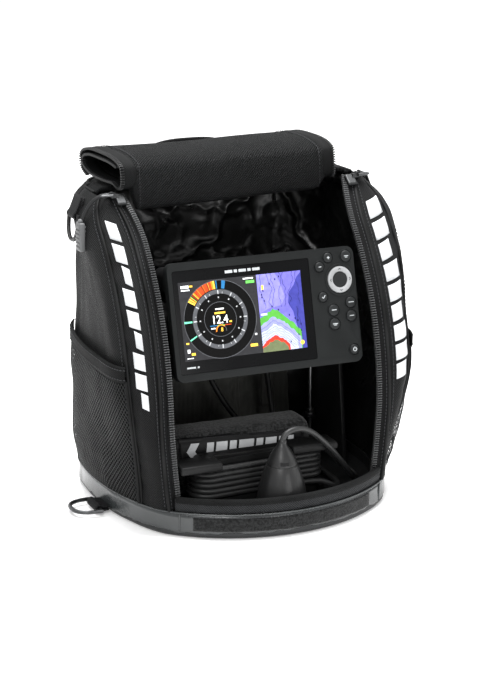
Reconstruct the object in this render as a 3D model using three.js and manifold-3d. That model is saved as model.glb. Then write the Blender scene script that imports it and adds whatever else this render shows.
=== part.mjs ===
// Portable fish finder kit: a soft bench-top carry case that opens at the front, with a hard
// shuttle inside it that holds a battery, a wound transducer cable and a display head on a
// tilting gimbal bracket.
// Millimetres. +Z is up, the open front faces -Y, and +X is to the right of someone facing it.
import * as THREE from 'three';
import { mergeVertices } from 'three/addons/utils/BufferGeometryUtils.js';
import { RoundedBoxGeometry } from 'three/addons/geometries/RoundedBoxGeometry.js';
import Module from 'manifold-3d';

const wasm = await Module();
wasm.setup();

// ---------------------------------------------------------------- driving dimensions
const GAP = 0.3;                 // clearance between touching pieces
const BOOT_TOP = 22;             // height of the coated boot round the base
const WALL = 3.5;                // padded case wall
const FRONT_ARC_Y = -124;        // foremost point of the convex base
const BACK_Y = 117;              // outer face of the back panel
const BACK_CORNER = 50;          // vertical back corner radius
const HALF_BASE = 128;           // half width at the boot
const HALF_MID = 138;            // half width at mid height, front
const HALF_REAR = 130;           // half width at mid height, rear
const DOME_START = 255;          // where the sides start to roll over into the top
const DOME_R = 28;               // radius of that roll-over
const DOME_SPLIT = 60;           // degrees of roll-over held by the side and back panels
const ZIP_TOP = 281;             // height of the zipper's top ends
const FRONT_Y = -82.5;           // zipper line's depth near the base
const LIP_TOP = 35;              // top of the twill lip above the boot

const SCREEN_TILT = 14;          // display leans back, degrees
const HEAD_W = 176;
const HEAD_H = 102;
const HEAD_D = 40;
const HEAD_FACE = { y: -58, z: 180.5 };   // centre of the display face
const PIVOT_BACK = 29;           // gimbal axis behind the face
const KNOB_R = 16.5;

const TRAY_TOP = 12;              // floor of the shuttle tray
const TRAY_RIM = 21.4;
const WALL_X = 102;              // inner face of the shuttle's side walls
const SHELF_Z = 124;

const CABLE_D = 5.2;
const COIL = { z0: 22, z1: 54.6, leftX: -56, rightX: 42, leftR: 17.8, rightR: 13.3, backY: -37.8 };
const CONE = { x: 0, y: -91, r: 24.5 };

// ---------------------------------------------------------------- materials
const finish = (color, roughness, metalness = 0) =>
  new THREE.MeshStandardMaterial({ color, roughness, metalness });
const TWILL = finish(0x2b2c2d, 0.85);
const COATED = finish(0x6d7274, 0.35);
const MESH_CLOTH = finish(0x1c1d1e, 0.9);
const BINDING = finish(0x232425, 0.8);
const TEETH = finish(0x18191a, 0.45);
const WEBBING = finish(0x1d1e1f, 0.75);
const STEEL = finish(0x8d9194, 0.3, 1);
const RUBBER = finish(0x55585a, 0.6);
const SHELL = finish(0x111213, 0.4);
const BEZEL = finish(0x3a3e40, 0.5);
const KEY = finish(0x2a2c2e, 0.5);
const GLASS = finish(0x0b0c10, 0.08);
const BOARD = finish(0x1f5c34, 0.6);
const FOAM = finish(0x38393a, 0.95);
const CABLE = finish(0x2c2d2e, 0.5);
const RING_LIGHT = finish(0xd8dadb, 0.4);

// ---------------------------------------------------------------- geometry helpers
const vec = (x, y, z) => new THREE.Vector3(x, y, z);
const rad = THREE.MathUtils.degToRad;
const clamp01 = (t) => Math.min(1, Math.max(0, t));
const smooth = (t) => THREE.MathUtils.smoothstep(t, 0, 1);

function signedVolume(points, index) {
  let volume = 0;
  for (let i = 0; i < index.length; i += 3) {
    const [a, b, c] = [points[index[i]], points[index[i + 1]], points[index[i + 2]]];
    volume += a.dot(b.clone().cross(c)) / 6;
  }
  return volume;
}

// A closed body from shared points and triangles, turned so that its faces point out.
function body(points, index) {
  if (signedVolume(points, index) < 0) index.reverse();
  const geometry = new THREE.BufferGeometry();
  const flat = points.flatMap((p) => p.toArray());
  geometry.setAttribute('position', new THREE.Float32BufferAttribute(flat, 3));
  geometry.setIndex(index);
  return geometry;
}

function quad(index, a, b, c, d) {
  index.push(a, b, c, a, c, d);
}

// Skins a list of rings that run the same way round, and closes both ends (or joins them).
function loft(rings, joined = false) {
  const n = rings[0].length;
  const points = rings.flat();
  const index = [];
  const spans = joined ? rings.length : rings.length - 1;
  for (let r = 0; r < spans; r++) {
    const next = (r + 1) % rings.length;
    for (let k = 0; k < n; k++) {
      const k1 = (k + 1) % n;
      quad(index, r * n + k, r * n + k1, next * n + k1, next * n + k);
    }
  }
  if (!joined) {
    const capFan = (ring, start, flip) => {
      const centre = ring.reduce((sum, p) => sum.add(p), vec(0, 0, 0)).divideScalar(n);
      const hub = points.push(centre) - 1;
      for (let k = 0; k < n; k++) {
        const pair = [start + k, start + ((k + 1) % n)];
        if (flip) pair.reverse();
        index.push(hub, pair[1], pair[0]);
      }
    };
    capFan(rings[0], 0, false);
    capFan(rings[rings.length - 1], (rings.length - 1) * n, true);
  }
  return body(points, index);
}

// A sheet of even thickness: outer(u, v) is its outer face, and the inner face lies inward of it.
const CASE_MIDDLE = vec(0, 10, 140);
function sheet(outer, nu, nv, thickness, lift = 0) {
  const step = 1e-3;
  const faces = [[], []];
  for (let j = 0; j <= nv; j++) {
    for (let i = 0; i <= nu; i++) {
      const [u, v] = [i / nu, j / nv];
      const p = outer(u, v);
      const du = outer(Math.min(1, u + step), v).sub(outer(Math.max(0, u - step), v));
      const dv = outer(u, Math.min(1, v + step)).sub(outer(u, Math.max(0, v - step)));
      const normal = du.cross(dv).normalize();
      if (normal.dot(p.clone().sub(CASE_MIDDLE)) < 0) normal.negate();
      faces[0].push(p.clone().addScaledVector(normal, lift));
      faces[1].push(p.clone().addScaledVector(normal, lift - thickness));
    }
  }
  const points = faces.flat();
  const half = (nu + 1) * (nv + 1);
  const at = (i, j, side) => side * half + j * (nu + 1) + i;
  const index = [];
  for (let j = 0; j < nv; j++) {
    for (let i = 0; i < nu; i++) {
      quad(index, at(i, j, 0), at(i + 1, j, 0), at(i + 1, j + 1, 0), at(i, j + 1, 0));
      quad(index, at(i, j, 1), at(i, j + 1, 1), at(i + 1, j + 1, 1), at(i + 1, j, 1));
    }
  }
  for (let i = 0; i < nu; i++) {
    quad(index, at(i, 0, 0), at(i, 0, 1), at(i + 1, 0, 1), at(i + 1, 0, 0));
    quad(index, at(i, nv, 0), at(i + 1, nv, 0), at(i + 1, nv, 1), at(i, nv, 1));
  }
  for (let j = 0; j < nv; j++) {
    quad(index, at(0, j, 0), at(0, j + 1, 0), at(0, j + 1, 1), at(0, j, 1));
    quad(index, at(nu, j, 0), at(nu, j, 1), at(nu, j + 1, 1), at(nu, j + 1, 0));
  }
  return body(points, index);
}

function mirrored(geometry) {
  const copy = geometry.clone().scale(-1, 1, 1);
  const index = copy.index ? [...copy.index.array] : [...Array(copy.attributes.position.count).keys()];
  copy.setIndex(index.reverse());
  return copy;
}

// Round section swept along points; joined makes a closed hoop.
function sweep(points, radius, sides, joined = false) {
  const count = points.length;
  const rings = points.map((p, i) => {
    const before = points[joined ? (i - 1 + count) % count : Math.max(0, i - 1)];
    const after = points[joined ? (i + 1) % count : Math.min(count - 1, i + 1)];
    const tangent = after.clone().sub(before).normalize();
    const side = SWEEP_UP.clone().cross(tangent).normalize();
    const up = tangent.clone().cross(side);
    return Array.from({ length: sides }, (_, k) => {
      const angle = (k / sides) * 2 * Math.PI;
      return p.clone().addScaledVector(side, radius * Math.cos(angle))
        .addScaledVector(up, radius * Math.sin(angle));
    });
  });
  return loft(rings, joined);
}
const SWEEP_UP = vec(0.013, 0.021, 1);

function cableTube(route, steps) {
  const circle = new THREE.Shape();
  circle.absarc(0, 0, CABLE_D / 2, 0, 2 * Math.PI);
  const curve = new THREE.CatmullRomCurve3(route.map((p) => vec(...p)), false, 'centripetal');
  return new THREE.ExtrudeGeometry(circle, { steps, extrudePath: curve, curveSegments: 4 });
}

function solid(geometry) {
  const bare = geometry.clone();
  bare.deleteAttribute('normal');
  bare.deleteAttribute('uv');
  const merged = mergeVertices(bare, 1e-4);
  return new wasm.Manifold(new wasm.Mesh({
    numProp: 3,
    vertProperties: new Float32Array(merged.attributes.position.array),
    triVerts: new Uint32Array(merged.index.array),
  }));
}

function fromSolid(manifold) {
  const mesh = manifold.getMesh();
  const geometry = new THREE.BufferGeometry();
  geometry.setAttribute('position', new THREE.BufferAttribute(mesh.vertProperties, 3));
  geometry.setIndex(new THREE.BufferAttribute(mesh.triVerts, 1));
  return geometry;
}

const join = (...parts) => fromSolid(parts.map(solid).reduce((a, b) => a.add(b)));
const cut = (from, ...tools) => fromSolid(tools.map(solid).reduce((a, b) => a.subtract(b), solid(from)));

function block(x0, x1, y0, y1, z0, z1) {
  const geometry = new THREE.BoxGeometry(x1 - x0, y1 - y0, z1 - z0);
  return geometry.translate((x0 + x1) / 2, (y0 + y1) / 2, (z0 + z1) / 2);
}

function softBlock(x0, x1, y0, y1, z0, z1, radius, segments = 2) {
  const geometry = new RoundedBoxGeometry(x1 - x0, y1 - y0, z1 - z0, segments, radius);
  return geometry.translate((x0 + x1) / 2, (y0 + y1) / 2, (z0 + z1) / 2);
}

// Cylinder along an axis named 'x', 'y' or 'z', starting at the given point.
function rod(axis, x, y, z, radius, length, sides = 16) {
  const geometry = new THREE.CylinderGeometry(radius, radius, length, sides);
  geometry.translate(0, length / 2, 0);
  if (axis === 'x') geometry.rotateZ(-Math.PI / 2);
  if (axis === 'z') geometry.rotateX(Math.PI / 2);
  return geometry.translate(x, y, z);
}

function roundedOutline(w, h, r) {
  const shape = new THREE.Shape();
  shape.moveTo(-w / 2 + r, -h / 2);
  shape.lineTo(w / 2 - r, -h / 2);
  shape.absarc(w / 2 - r, -h / 2 + r, r, -Math.PI / 2, 0);
  shape.lineTo(w / 2, h / 2 - r);
  shape.absarc(w / 2 - r, h / 2 - r, r, 0, Math.PI / 2);
  shape.lineTo(-w / 2 + r, h / 2);
  shape.absarc(-w / 2 + r, h / 2 - r, r, Math.PI / 2, Math.PI);
  shape.lineTo(-w / 2, -h / 2 + r);
  shape.absarc(-w / 2 + r, -h / 2 + r, r, Math.PI, 1.5 * Math.PI);
  return shape;
}

// ---------------------------------------------------------------- assembly
const model = new THREE.Group();

function add(name, geometry, material, parent = model) {
  const mesh = new THREE.Mesh(geometry, material);
  mesh.name = name;
  parent.add(mesh);
  return mesh;
}

function addPair(name, rightGeometry, material) {
  add(`${name}_right`, rightGeometry, material);
  add(`${name}_left`, mirrored(rightGeometry), material);
}

// ---------------------------------------------------------------- case surface
// The right half of the case. The zipper line runs up the front opening's edge, and the plan at
// each height goes from it round the front corner, along the side and round the back corner.
const zipperY = (z) => FRONT_Y + 93.5 * clamp01((z - 72) / 210) ** 2.6;
function zipperX(z) {
  const low = 6.5 * clamp01((102 - z) / 80) ** 1.5;
  const high = 8 * clamp01((z - 242) / 39) ** 2;
  return 104 - low + high;
}
const halfFront = (z) => THREE.MathUtils.lerp(HALF_BASE, HALF_MID, smooth(clamp01((z - 22) / 130)));
const halfRear = (z) => THREE.MathUtils.lerp(HALF_BASE, HALF_REAR, smooth(clamp01((z - 22) / 130)));

// u: 0 zipper, 1 end of the front corner, 2 start of the back corner, 3 its end, 4 middle of the back.
// s: height, which turns into roll-over angle above DOME_START.
function casePoint(u, s) {
  const roll = Math.max(0, s - DOME_START) / DOME_R;
  const z = Math.min(s, DOME_START) + DOME_R * Math.sin(roll);
  const inset = DOME_R * (1 - Math.cos(roll));
  const low = 1 - smooth(clamp01((z - 22) / 110));
  const front = zipperY(z);
  const start = [zipperX(z) + 4.2, front];
  const w = halfFront(z) - inset;
  const rear = halfRear(z) - inset;
  const back = BACK_Y - inset;
  const corner = BACK_CORNER - inset;
  const end = [w, front + 45 + 27 * low];
  const control = [w + 4 - 14 * low, front - 8 + 24 * low];
  const sideEnd = [rear, BACK_Y - BACK_CORNER];
  if (u < 1) {
    const [a, b, c] = [(1 - u) ** 2, 2 * u * (1 - u), u * u];
    return vec(a * start[0] + b * control[0] + c * end[0], a * start[1] + b * control[1] + c * end[1], z);
  }
  if (u < 2) {
    const t = u - 1;
    const bow = 2.5 * Math.sin(Math.PI * t);
    return vec(end[0] + (sideEnd[0] - end[0]) * t + bow, end[1] + (sideEnd[1] - end[1]) * t, z);
  }
  if (u < 3) {
    const angle = (u - 2) * Math.PI / 2;
    return vec(rear - corner + corner * Math.cos(angle), back - corner + corner * Math.sin(angle), z);
  }
  return vec((rear - corner) * (4 - u), back, z);
}

const DOME_TOP_S = DOME_START + DOME_R * rad(DOME_SPLIT);
const SEAM_U = 0.5;
const REAR_SEAM_U = 2.5;

// Keeps a sheet a little short of the lines where it meets its neighbours.
function caseSheet(u0, u1, s0, s1, nu, nv, thickness, lift = 0) {
  return sheet((u, v) => casePoint(u0 + (u1 - u0) * u, s0 + (s1 - s0) * v), nu, nv, thickness, lift);
}

const SHEET_BASE = BOOT_TOP + GAP;
const seamGap = 0.008;           // in u, about 0.3 mm on the front corner
addPair('front_border', caseSheet(0, SEAM_U - seamGap, SHEET_BASE, DOME_TOP_S, 3, 11, WALL), TWILL);
addPair('side_panel', caseSheet(SEAM_U + seamGap, REAR_SEAM_U, SHEET_BASE, DOME_TOP_S, 8, 10, WALL), TWILL);

// back panel: both halves of the back in one sheet
add('back_panel', sheet((u, v) => {
  const side = Math.abs(2 * u - 1);
  const s = SHEET_BASE + (DOME_TOP_S - SHEET_BASE) * v;
  const point = casePoint(4 - side * (4 - REAR_SEAM_U - seamGap), s);
  if (u < 0.5) point.x = -point.x;
  return point;
}, 8, 7, WALL), TWILL);

// top panel: the rest of the roll-over and the flat top, open at the front under the rolled flap
function domeRing(angle, drop) {
  const stations = [0.75, 1, 1.35, 1.7, 2, 2.25, 2.5, 2.75, 3];
  const s = DOME_START + DOME_R * rad(angle);
  const half = stations.map((u) => {
    const point = casePoint(u, s);
    const towardsMiddle = vec(-point.x, 40 - point.y, 0).normalize();
    point.addScaledVector(towardsMiddle, drop * Math.cos(rad(angle)));
    return point.setZ(point.z - drop * Math.sin(rad(angle)));
  });
  const left = half.map((p) => vec(-p.x, p.y, p.z)).reverse();
  return [...half, ...left];
}
const TOP_GAP_ANGLE = DOME_SPLIT + 6;
add('top_panel', loft([
  domeRing(90, WALL), domeRing(76, WALL), domeRing(TOP_GAP_ANGLE, WALL),
  domeRing(TOP_GAP_ANGLE, 0), domeRing(76, 0), domeRing(90, 0),
]), TWILL);

// ---------------------------------------------------------------- boot, base board and front lip
const arcEnd = casePoint(0, BOOT_TOP);
const ARC_R = (arcEnd.x ** 2 + (arcEnd.y - FRONT_ARC_Y) ** 2) / (2 * (arcEnd.y - FRONT_ARC_Y));
const frontArc = (x, inset = 0) => FRONT_ARC_Y + ARC_R - Math.sqrt((ARC_R - inset) ** 2 - x * x);

// Whole plan outline near the base, moved in by a distance.
function basePlan(z, inset) {
  const stations = [0, 0.2, 0.4, 0.6, 0.8, 1, 1.5, 2, 2.25, 2.5, 2.75, 3, 3.6];
  const shrink = (p) => {
    const length = Math.hypot(p.x, p.y - 5);
    return vec(p.x * (1 - inset / length), 5 + (p.y - 5) * (1 - inset / length), z);
  };
  const right = stations.map((u) => shrink(casePoint(u, BOOT_TOP)));
  const left = right.map((p) => vec(-p.x, p.y, p.z)).reverse();
  const arcSteps = 12;
  const front = [];
  for (let i = 1; i < arcSteps; i++) {
    const x = -arcEnd.x + (2 * arcEnd.x * i) / arcSteps;
    front.push(shrink(vec(x, frontArc(x), z)));
  }
  return [...right, ...left, ...front];
}
add('bottom_boot', loft([
  basePlan(0, 3), basePlan(3, 0.6), basePlan(BOOT_TOP, 0),
  basePlan(BOOT_TOP, WALL), basePlan(WALL, WALL + 1),
]), COATED);
const LIP_X = 95;
add('front_lip', sheet((u, v) => {
  const x = LIP_X * (2 * u - 1);
  return vec(x, frontArc(x) + 0.5 * v, SHEET_BASE + (LIP_TOP - SHEET_BASE) * v);
}, 12, 1, 3), TWILL);

// ---------------------------------------------------------------- zippers
// Chain: a flat band on the opening's edge. Its section is held in the plane across the line.
function zipperChain() {
  const steps = 22;
  const rings = [];
  for (let i = 0; i <= steps; i++) {
    const z = SHEET_BASE + (ZIP_TOP - SHEET_BASE) * (i / steps);
    const slope = (zipperY(z + 0.5) - zipperY(z - 0.5));
    const out = vec(0, -1, slope).normalize();
    const corner = (dx, depth) => vec(zipperX(z) + dx, zipperY(z), z).addScaledVector(out, depth);
    rings.push([corner(1.4, 0), corner(1.4, -2.5), corner(-7, -2.5), corner(-7, 0)]);
  }
  return loft(rings);
}
addPair('zipper_chain', zipperChain(), TEETH);

// Slider bodies rest just past the top ends of the chains, each with a lug for its pull.
const SLIDER = vec(zipperX(ZIP_TOP) - 2, zipperY(ZIP_TOP) - 7.2, ZIP_TOP - 3);
const SLIDER_LEAN = 52;
const PULL_WIRE = 1.2;
const PULL_BAR = vec(117.2, 4, 282.6);     // middle of the pull ring's straight bar
const EYE_W = 3.6;
function sliderBody() {
  const plate = new RoundedBoxGeometry(9, 4, 12, 2, 1.5).rotateX(rad(-SLIDER_LEAN));
  plate.translate(SLIDER.x, SLIDER.y, SLIDER.z);
  const [y0, y1] = [PULL_BAR.y - EYE_W / 2, PULL_BAR.y + EYE_W / 2];
  const arm = block(SLIDER.x + 2, PULL_BAR.x - 1, y0, y1, PULL_BAR.z - 2.6, PULL_BAR.z + 0.8);
  const eye = rod('y', PULL_BAR.x, y0, PULL_BAR.z, 2.6, EYE_W);
  const bore = rod('y', PULL_BAR.x, y0 - 1, PULL_BAR.z, PULL_WIRE + 0.35, EYE_W + 2);
  return cut(join(plate, arm, eye), bore);
}
addPair('zipper_slider', sliderBody(), STEEL);

// ---------------------------------------------------------------- mesh pockets
const POCKET_TOP = 138;
const POCKET_U0 = 0.86;
const POCKET_U1 = 2.4;
function pocketPoint(u, v, extra = 0) {
  const s = SHEET_BASE + 1 + (POCKET_TOP - SHEET_BASE - 1) * v;
  const at = POCKET_U0 + (POCKET_U1 - POCKET_U0) * u;
  const point = casePoint(at, s);
  const ahead = casePoint(at + 0.01, s).sub(casePoint(at - 0.01, s));
  const out = vec(ahead.y, -ahead.x, 0).normalize();
  const bulge = 10.5 * Math.sin(Math.PI * clamp01(u)) ** 0.45 * smooth(clamp01(v / 0.35));
  return point.addScaledVector(out, 2.2 + bulge + extra);
}
addPair('mesh_pocket', sheet((u, v) => pocketPoint(u, v), 12, 6, 1.4), MESH_CLOTH);
const bindingPoint = (u, v) => pocketPoint(u, 1).setZ(POCKET_TOP + GAP + 12 * v);
addPair('pocket_binding', sheet(bindingPoint, 12, 1, 2), BINDING);

// ---------------------------------------------------------------- rolled front flap
// A flattened tube of cloth that lies on the top's front edge. The middle of its front sags.
const ROLL = {
  x0: -112, x1: 112, cx: -7, cy: 53, cz: 301.6, turn: 4.5, depth: 47, height: 18,
  sag: 31, sagX: 96, cloth: 4.5,
};
function rollSection(x, inset) {
  const count = 18;
  const middle = Math.max(0, Math.cos((x / ROLL.sagX) * Math.PI / 2)) ** 0.35;
  return Array.from({ length: count }, (_, k) => {
    const angle = (k / count) * 2 * Math.PI;
    const [c, s] = [Math.cos(angle), Math.sin(angle)];
    const y = (ROLL.depth - inset) * Math.sign(c) * Math.abs(c) ** 0.8;
    let z = (ROLL.height - inset) * Math.sign(s) * Math.abs(s) ** 0.8;
    const front = smooth(clamp01((-c - 0.45) / 0.45));
    const under = smooth(clamp01((0.4 - s) / 0.6));
    z -= (ROLL.sag - inset) * middle * front * under;
    return vec(x, y, z);
  });
}
function flapRoll() {
  const stations = [0, 0.07, 0.2, 0.5, 0.8, 0.93, 1];
  const at = (t) => ROLL.x0 + (ROLL.x1 - ROLL.x0) * t;
  const outer = stations.map((t) => rollSection(at(t), 0));
  const inner = stations.map((t) => rollSection(at(t), ROLL.cloth)).reverse();
  return loft([...outer, ...inner], true);
}
const roll = add('front_flap', flapRoll(), TWILL);
roll.position.set(ROLL.cx, ROLL.cy, ROLL.cz);
roll.rotation.z = rad(ROLL.turn);

// ---------------------------------------------------------------- carry handle
// A stiff webbing arch sewn to the back panel's top.
const HANDLE = { y: BACK_Y + 0.5, foot: 250, half: 58, rise: 61, width: 15, thick: 4 };
function handleArch() {
  const steps = 14;
  const rings = [];
  for (let i = 0; i <= steps; i++) {
    const angle = Math.PI * (i / steps);
    const [c, s] = [Math.cos(angle), Math.sin(angle)];
    const edge = (grow, y) => vec(
      (HANDLE.half + grow) * Math.sign(c) * Math.abs(c) ** 0.7,
      y,
      HANDLE.foot + (HANDLE.rise + grow) * Math.max(0, s) ** 0.6,
    );
    const back = HANDLE.y + HANDLE.thick;
    rings.push([
      edge(0, HANDLE.y), edge(0, back), edge(-HANDLE.width, back), edge(-HANDLE.width, HANDLE.y),
    ]);
  }
  return loft(rings);
}
add('carry_handle', handleArch(), WEBBING);

// ---------------------------------------------------------------- strap rings
const RING_WIRE = 1.9;
// D shape in the XY plane, straight bar on the Y axis, bow towards +X.
function dRing(width, reach, wire) {
  const half = width / 2 - wire;
  const points = [];
  for (let i = 0; i <= 4; i++) points.push(vec(0, -half + (2 * half * i) / 4, 0));
  for (let i = 1; i < 14; i++) {
    const angle = Math.PI / 2 - (Math.PI * i) / 14;
    const [c, s] = [Math.cos(angle), Math.sin(angle)];
    points.push(vec((reach - 2 * wire) * c ** 0.7, half * Math.sign(s) * Math.abs(s) ** 0.8, 0));
  }
  return sweep(points, wire, 8, true);
}
// Webbing tab that wraps the ring's bar: a tongue ending in an eye.
function ringTab(length, width, eyeR, thickness) {
  const tongue = block(-length, -eyeR + 0.6, -width / 2, width / 2, -thickness / 2, thickness / 2);
  const eye = rod('y', 0, -width / 2, 0, eyeR, width, 14);
  const bore = rod('y', 0, -width / 2 - 1, 0, RING_WIRE + 0.45, width + 2, 14);
  return cut(join(tongue, eye), bore);
}
const LOWER_RING = { z: 4.6, reach: 26, width: 38 };
const LOWER_RING_AT = { left: [-138.4, 4], right: [139.6, 26] };
for (const side of ['left', 'right']) {
  const facing = side === 'left' ? Math.PI : 0;
  const place = (mesh) => {
    mesh.position.set(...LOWER_RING_AT[side], LOWER_RING.z);
    mesh.rotation.z = facing;
  };
  place(add(`lower_ring_tab_${side}`, ringTab(8.1, 24, 4.5, 3), WEBBING));
  place(add(`lower_ring_${side}`, dRing(LOWER_RING.width, LOWER_RING.reach, RING_WIRE), STEEL));
}

// Upper webbing tabs on the shoulders of the side panels, the left one with a moulded ring.
const UPPER_TAB = { x: 141.6, y: 34, z: 262, lean: 70 };
const upperPlace = (geometry, angle) =>
  geometry.rotateY(rad(angle)).translate(UPPER_TAB.x, UPPER_TAB.y, UPPER_TAB.z);
addPair('upper_tab', upperPlace(ringTab(15, 18, 4.3, 2.4), UPPER_TAB.lean), WEBBING);
add('upper_ring_left', mirrored(upperPlace(dRing(28, 26, RING_WIRE), 84)), RUBBER);

// Both sliders carry a small ring. The left one's also has a cord that lies over the shoulder and
// ends in a ribbed grip.
const pullRing = () => dRing(9, 13, PULL_WIRE).translate(PULL_BAR.x, PULL_BAR.y, PULL_BAR.z);
function cordPull() {
  const cord = sweep([
    vec(126.8, 4, 282.4), vec(131, 5.6, 280.3), vec(135.6, 7.6, 275.5), vec(140, 9.6, 267.5),
    vec(143, 11, 259),
  ], 1.6, 8);
  return join(pullRing(), cord, softBlock(140.2, 147.2, 5, 18, 234, 260, 2.4, 1));
}
add('zipper_pull_left', mirrored(cordPull()), RUBBER);
add('zipper_pull_right', pullRing(), STEEL);

// ---------------------------------------------------------------- shuttle: tray, walls and shelf
add('shuttle_tray', loft([
  basePlan(WALL + GAP, 6), basePlan(TRAY_RIM, 5), basePlan(TRAY_RIM, 7), basePlan(TRAY_TOP, 7.6),
]), SHELL);

function sideWall() {
  const outline = new THREE.Shape();
  outline.moveTo(-6, TRAY_TOP + GAP);
  outline.lineTo(72, TRAY_TOP + GAP);
  outline.lineTo(66, SHELF_Z - GAP);
  outline.lineTo(8, SHELF_Z - GAP);
  outline.closePath();
  const plate = new THREE.ExtrudeGeometry(outline, { depth: 4, bevelEnabled: false });
  // the outline's x and y become the wall's depth and height
  plate.rotateX(Math.PI / 2).rotateZ(Math.PI / 2);
  return plate.translate(WALL_X, 0, 0);
}
addPair('shuttle_wall', sideWall(), SHELL);
add('shuttle_shelf', block(-WALL_X - 4, WALL_X + 4, 6, 66, SHELF_Z, SHELF_Z + 4), SHELL);

// ---------------------------------------------------------------- battery in its wrap
const WRAP = { x0: -101.5, x1: 54.5, y0: -37, y1: 8, z0: TRAY_TOP + GAP, z1: 71.5, wall: 3.5 };
function batteryWrap() {
  const { x0, x1, y0, y1, z0, z1, wall } = WRAP;
  const sleeve = softBlock(x0, x1, y0, y1, z0, z1, 5);
  const hollow = block(x0 - 1, x1 - wall, y0 + wall, y1 - wall, z0 + wall, z1 - wall);
  const leadHole = block(x1 - wall - 1, x1 + 1, -19, 2, 32, 54);
  return cut(sleeve, hollow, leadHole);
}
add('battery_wrap', batteryWrap(), FOAM);
function batteryCell() {
  const { x0, x1, y0, y1, z0, z1, wall } = WRAP;
  const play = wall + 0.6;
  const cell = block(x0 + 3, x1 - play, y0 + play, y1 - play, z0 + play, z1 - play);
  const terminals = [-13, -3].map((y) => block(x1 - play - 1, x1 - 0.6, y - 2.5, y + 2.5, 41, 49));
  return join(cell, ...terminals);
}
add('battery', batteryCell(), SHELL);

// ---------------------------------------------------------------- cable wrap and wound cable
// Pear-shaped outline with a straight back, moved in by a distance.
function pearOutline(inset) {
  const leftR = COIL.leftR - inset;
  const rightR = COIL.rightR - inset;
  const leftY = COIL.backY - COIL.leftR;
  const rightY = COIL.backY - COIL.rightR;
  const lean = Math.atan2(rightY - leftY, COIL.rightX - COIL.leftX);
  const apart = Math.hypot(COIL.rightX - COIL.leftX, rightY - leftY);
  const spread = Math.asin((COIL.leftR - COIL.rightR) / apart);
  const frontAngle = -Math.PI / 2 + lean + spread;
  const shape = new THREE.Shape();
  shape.absarc(COIL.leftX, leftY, leftR, Math.PI / 2, 2 * Math.PI + frontAngle);
  shape.absarc(COIL.rightX, rightY, rightR, frontAngle, Math.PI / 2);
  shape.closePath();
  return shape;
}
function pearPrism(inset, z0, z1, hole = 0) {
  const shape = pearOutline(inset);
  if (hole) shape.holes.push(pearOutline(hole));
  const options = { depth: z1 - z0, bevelEnabled: false, curveSegments: 10 };
  return new THREE.ExtrudeGeometry(shape, options).translate(0, 0, z0);
}
add('cable_coil', pearPrism(0, COIL.z0, COIL.z1, CABLE_D + 0.6), CABLE);
function cableWrap() {
  const post = pearPrism(CABLE_D + 1, TRAY_TOP + GAP, COIL.z1 + 2);
  const foot = pearPrism(2, TRAY_TOP + GAP, COIL.z0 - GAP);
  const earLeft = softBlock(-91, -52, -84, -58, COIL.z1 + GAP, COIL.z1 + 5, 2, 1);
  const earRight = softBlock(20, 64, -70, -46, COIL.z1 + GAP, COIL.z1 + 5, 2, 1);
  const bridge = block(-60, 40, -60, -50, COIL.z1 + 0.8, COIL.z1 + 4);
  return join(post, foot, earLeft, earRight, bridge);
}
add('cable_wrap', cableWrap(), SHELL);

// ---------------------------------------------------------------- transducer
// Rounded cone with a flat sole, a stepped shoulder and a short strain relief at its top.
function transducer() {
  const profile = [
    [0, 0], [CONE.r - 1.5, 0], [CONE.r, 1.5], [CONE.r, 5], [21.8, 9.4], [21.4, 15], [20.2, 21],
    [17.9, 30], [14.2, 41], [13.2, 42.6], [10.4, 50], [6.8, 56], [4.4, 58.6], [3.6, 60], [0, 60],
  ].map(([r, z]) => new THREE.Vector2(r, z));
  return new THREE.LatheGeometry(profile, 24).rotateX(Math.PI / 2);
}
add('transducer', transducer(), RUBBER).position.set(CONE.x, CONE.y, TRAY_TOP + GAP);

// ---------------------------------------------------------------- cables
// Transducer cable: an arc from the cone down to the tray, back up to the wound part, and from the
// wound part's lowest turn along the tray and up behind the battery to the head.
const CONE_TOP = TRAY_TOP + GAP + 60 + 0.8;
const LEAD_ROUTE = [
  [0, -91, CONE_TOP], [1, -91, 76], [5, -90.5, 80], [13, -89, 82], [23, -86, 80.5], [34, -82, 74.5],
  [45, -78.5, 65], [57, -74, 53], [68, -68.5, 40.5], [77.5, -63, 29.5], [85.5, -57, 20.8], [91.5, -50.5, 16.2],
  [93.8, -43.5, 16.4], [91, -37.6, 19.8], [85, -35.6, 25], [78, -36.6, 31], [71, -39.2, 37.6],
  [65.5, -41.6, 43.2], [61, -43, 47.4],
];
add('cable_lead', cableTube(LEAD_ROUTE, 24), CABLE);
const TAIL_ROUTE = [
  [55.8, -66, 20.5], [61, -66, 18], [67.5, -62, 15.6], [71.5, -54, 15.4], [72.5, -42, 15.4],
  [72.5, -20, 15.4], [72, 5, 15.4], [72, 30, 15.4], [72, 52, 15.6], [71, 66, 19], [69, 75, 30],
  [67, 79, 50], [64, 80, 75], [60, 79.5, 100], [55, 77, 122], [49.5, 70, 138], [42, 55, 150],
  [36, 36, 157.5], [31.4, 18, 161.8], [30.2, 9, 163.8], [30, 0.8, 165.8],
];
add('cable_tail', cableTube(TAIL_ROUTE, 24), CABLE);
const POWER_ROUTE = [
  [-26, 0.8, 165.8], [-26, 9, 163.8], [-25.2, 18, 161.6], [-23, 36, 155.5], [-19, 54, 145],
  [-13, 68, 130], [-5, 76, 108], [4, 77.5, 84], [14, 75, 64], [26, 71, 46], [40, 65, 31],
  [54, 56.5, 21.5], [64, 45, 19], [67.5, 30, 21], [67.5, 15, 28.5], [63.5, 2, 37], [55.2, -8, 43],
];
add('power_cable', cableTube(POWER_ROUTE, 22), CABLE);

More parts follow.
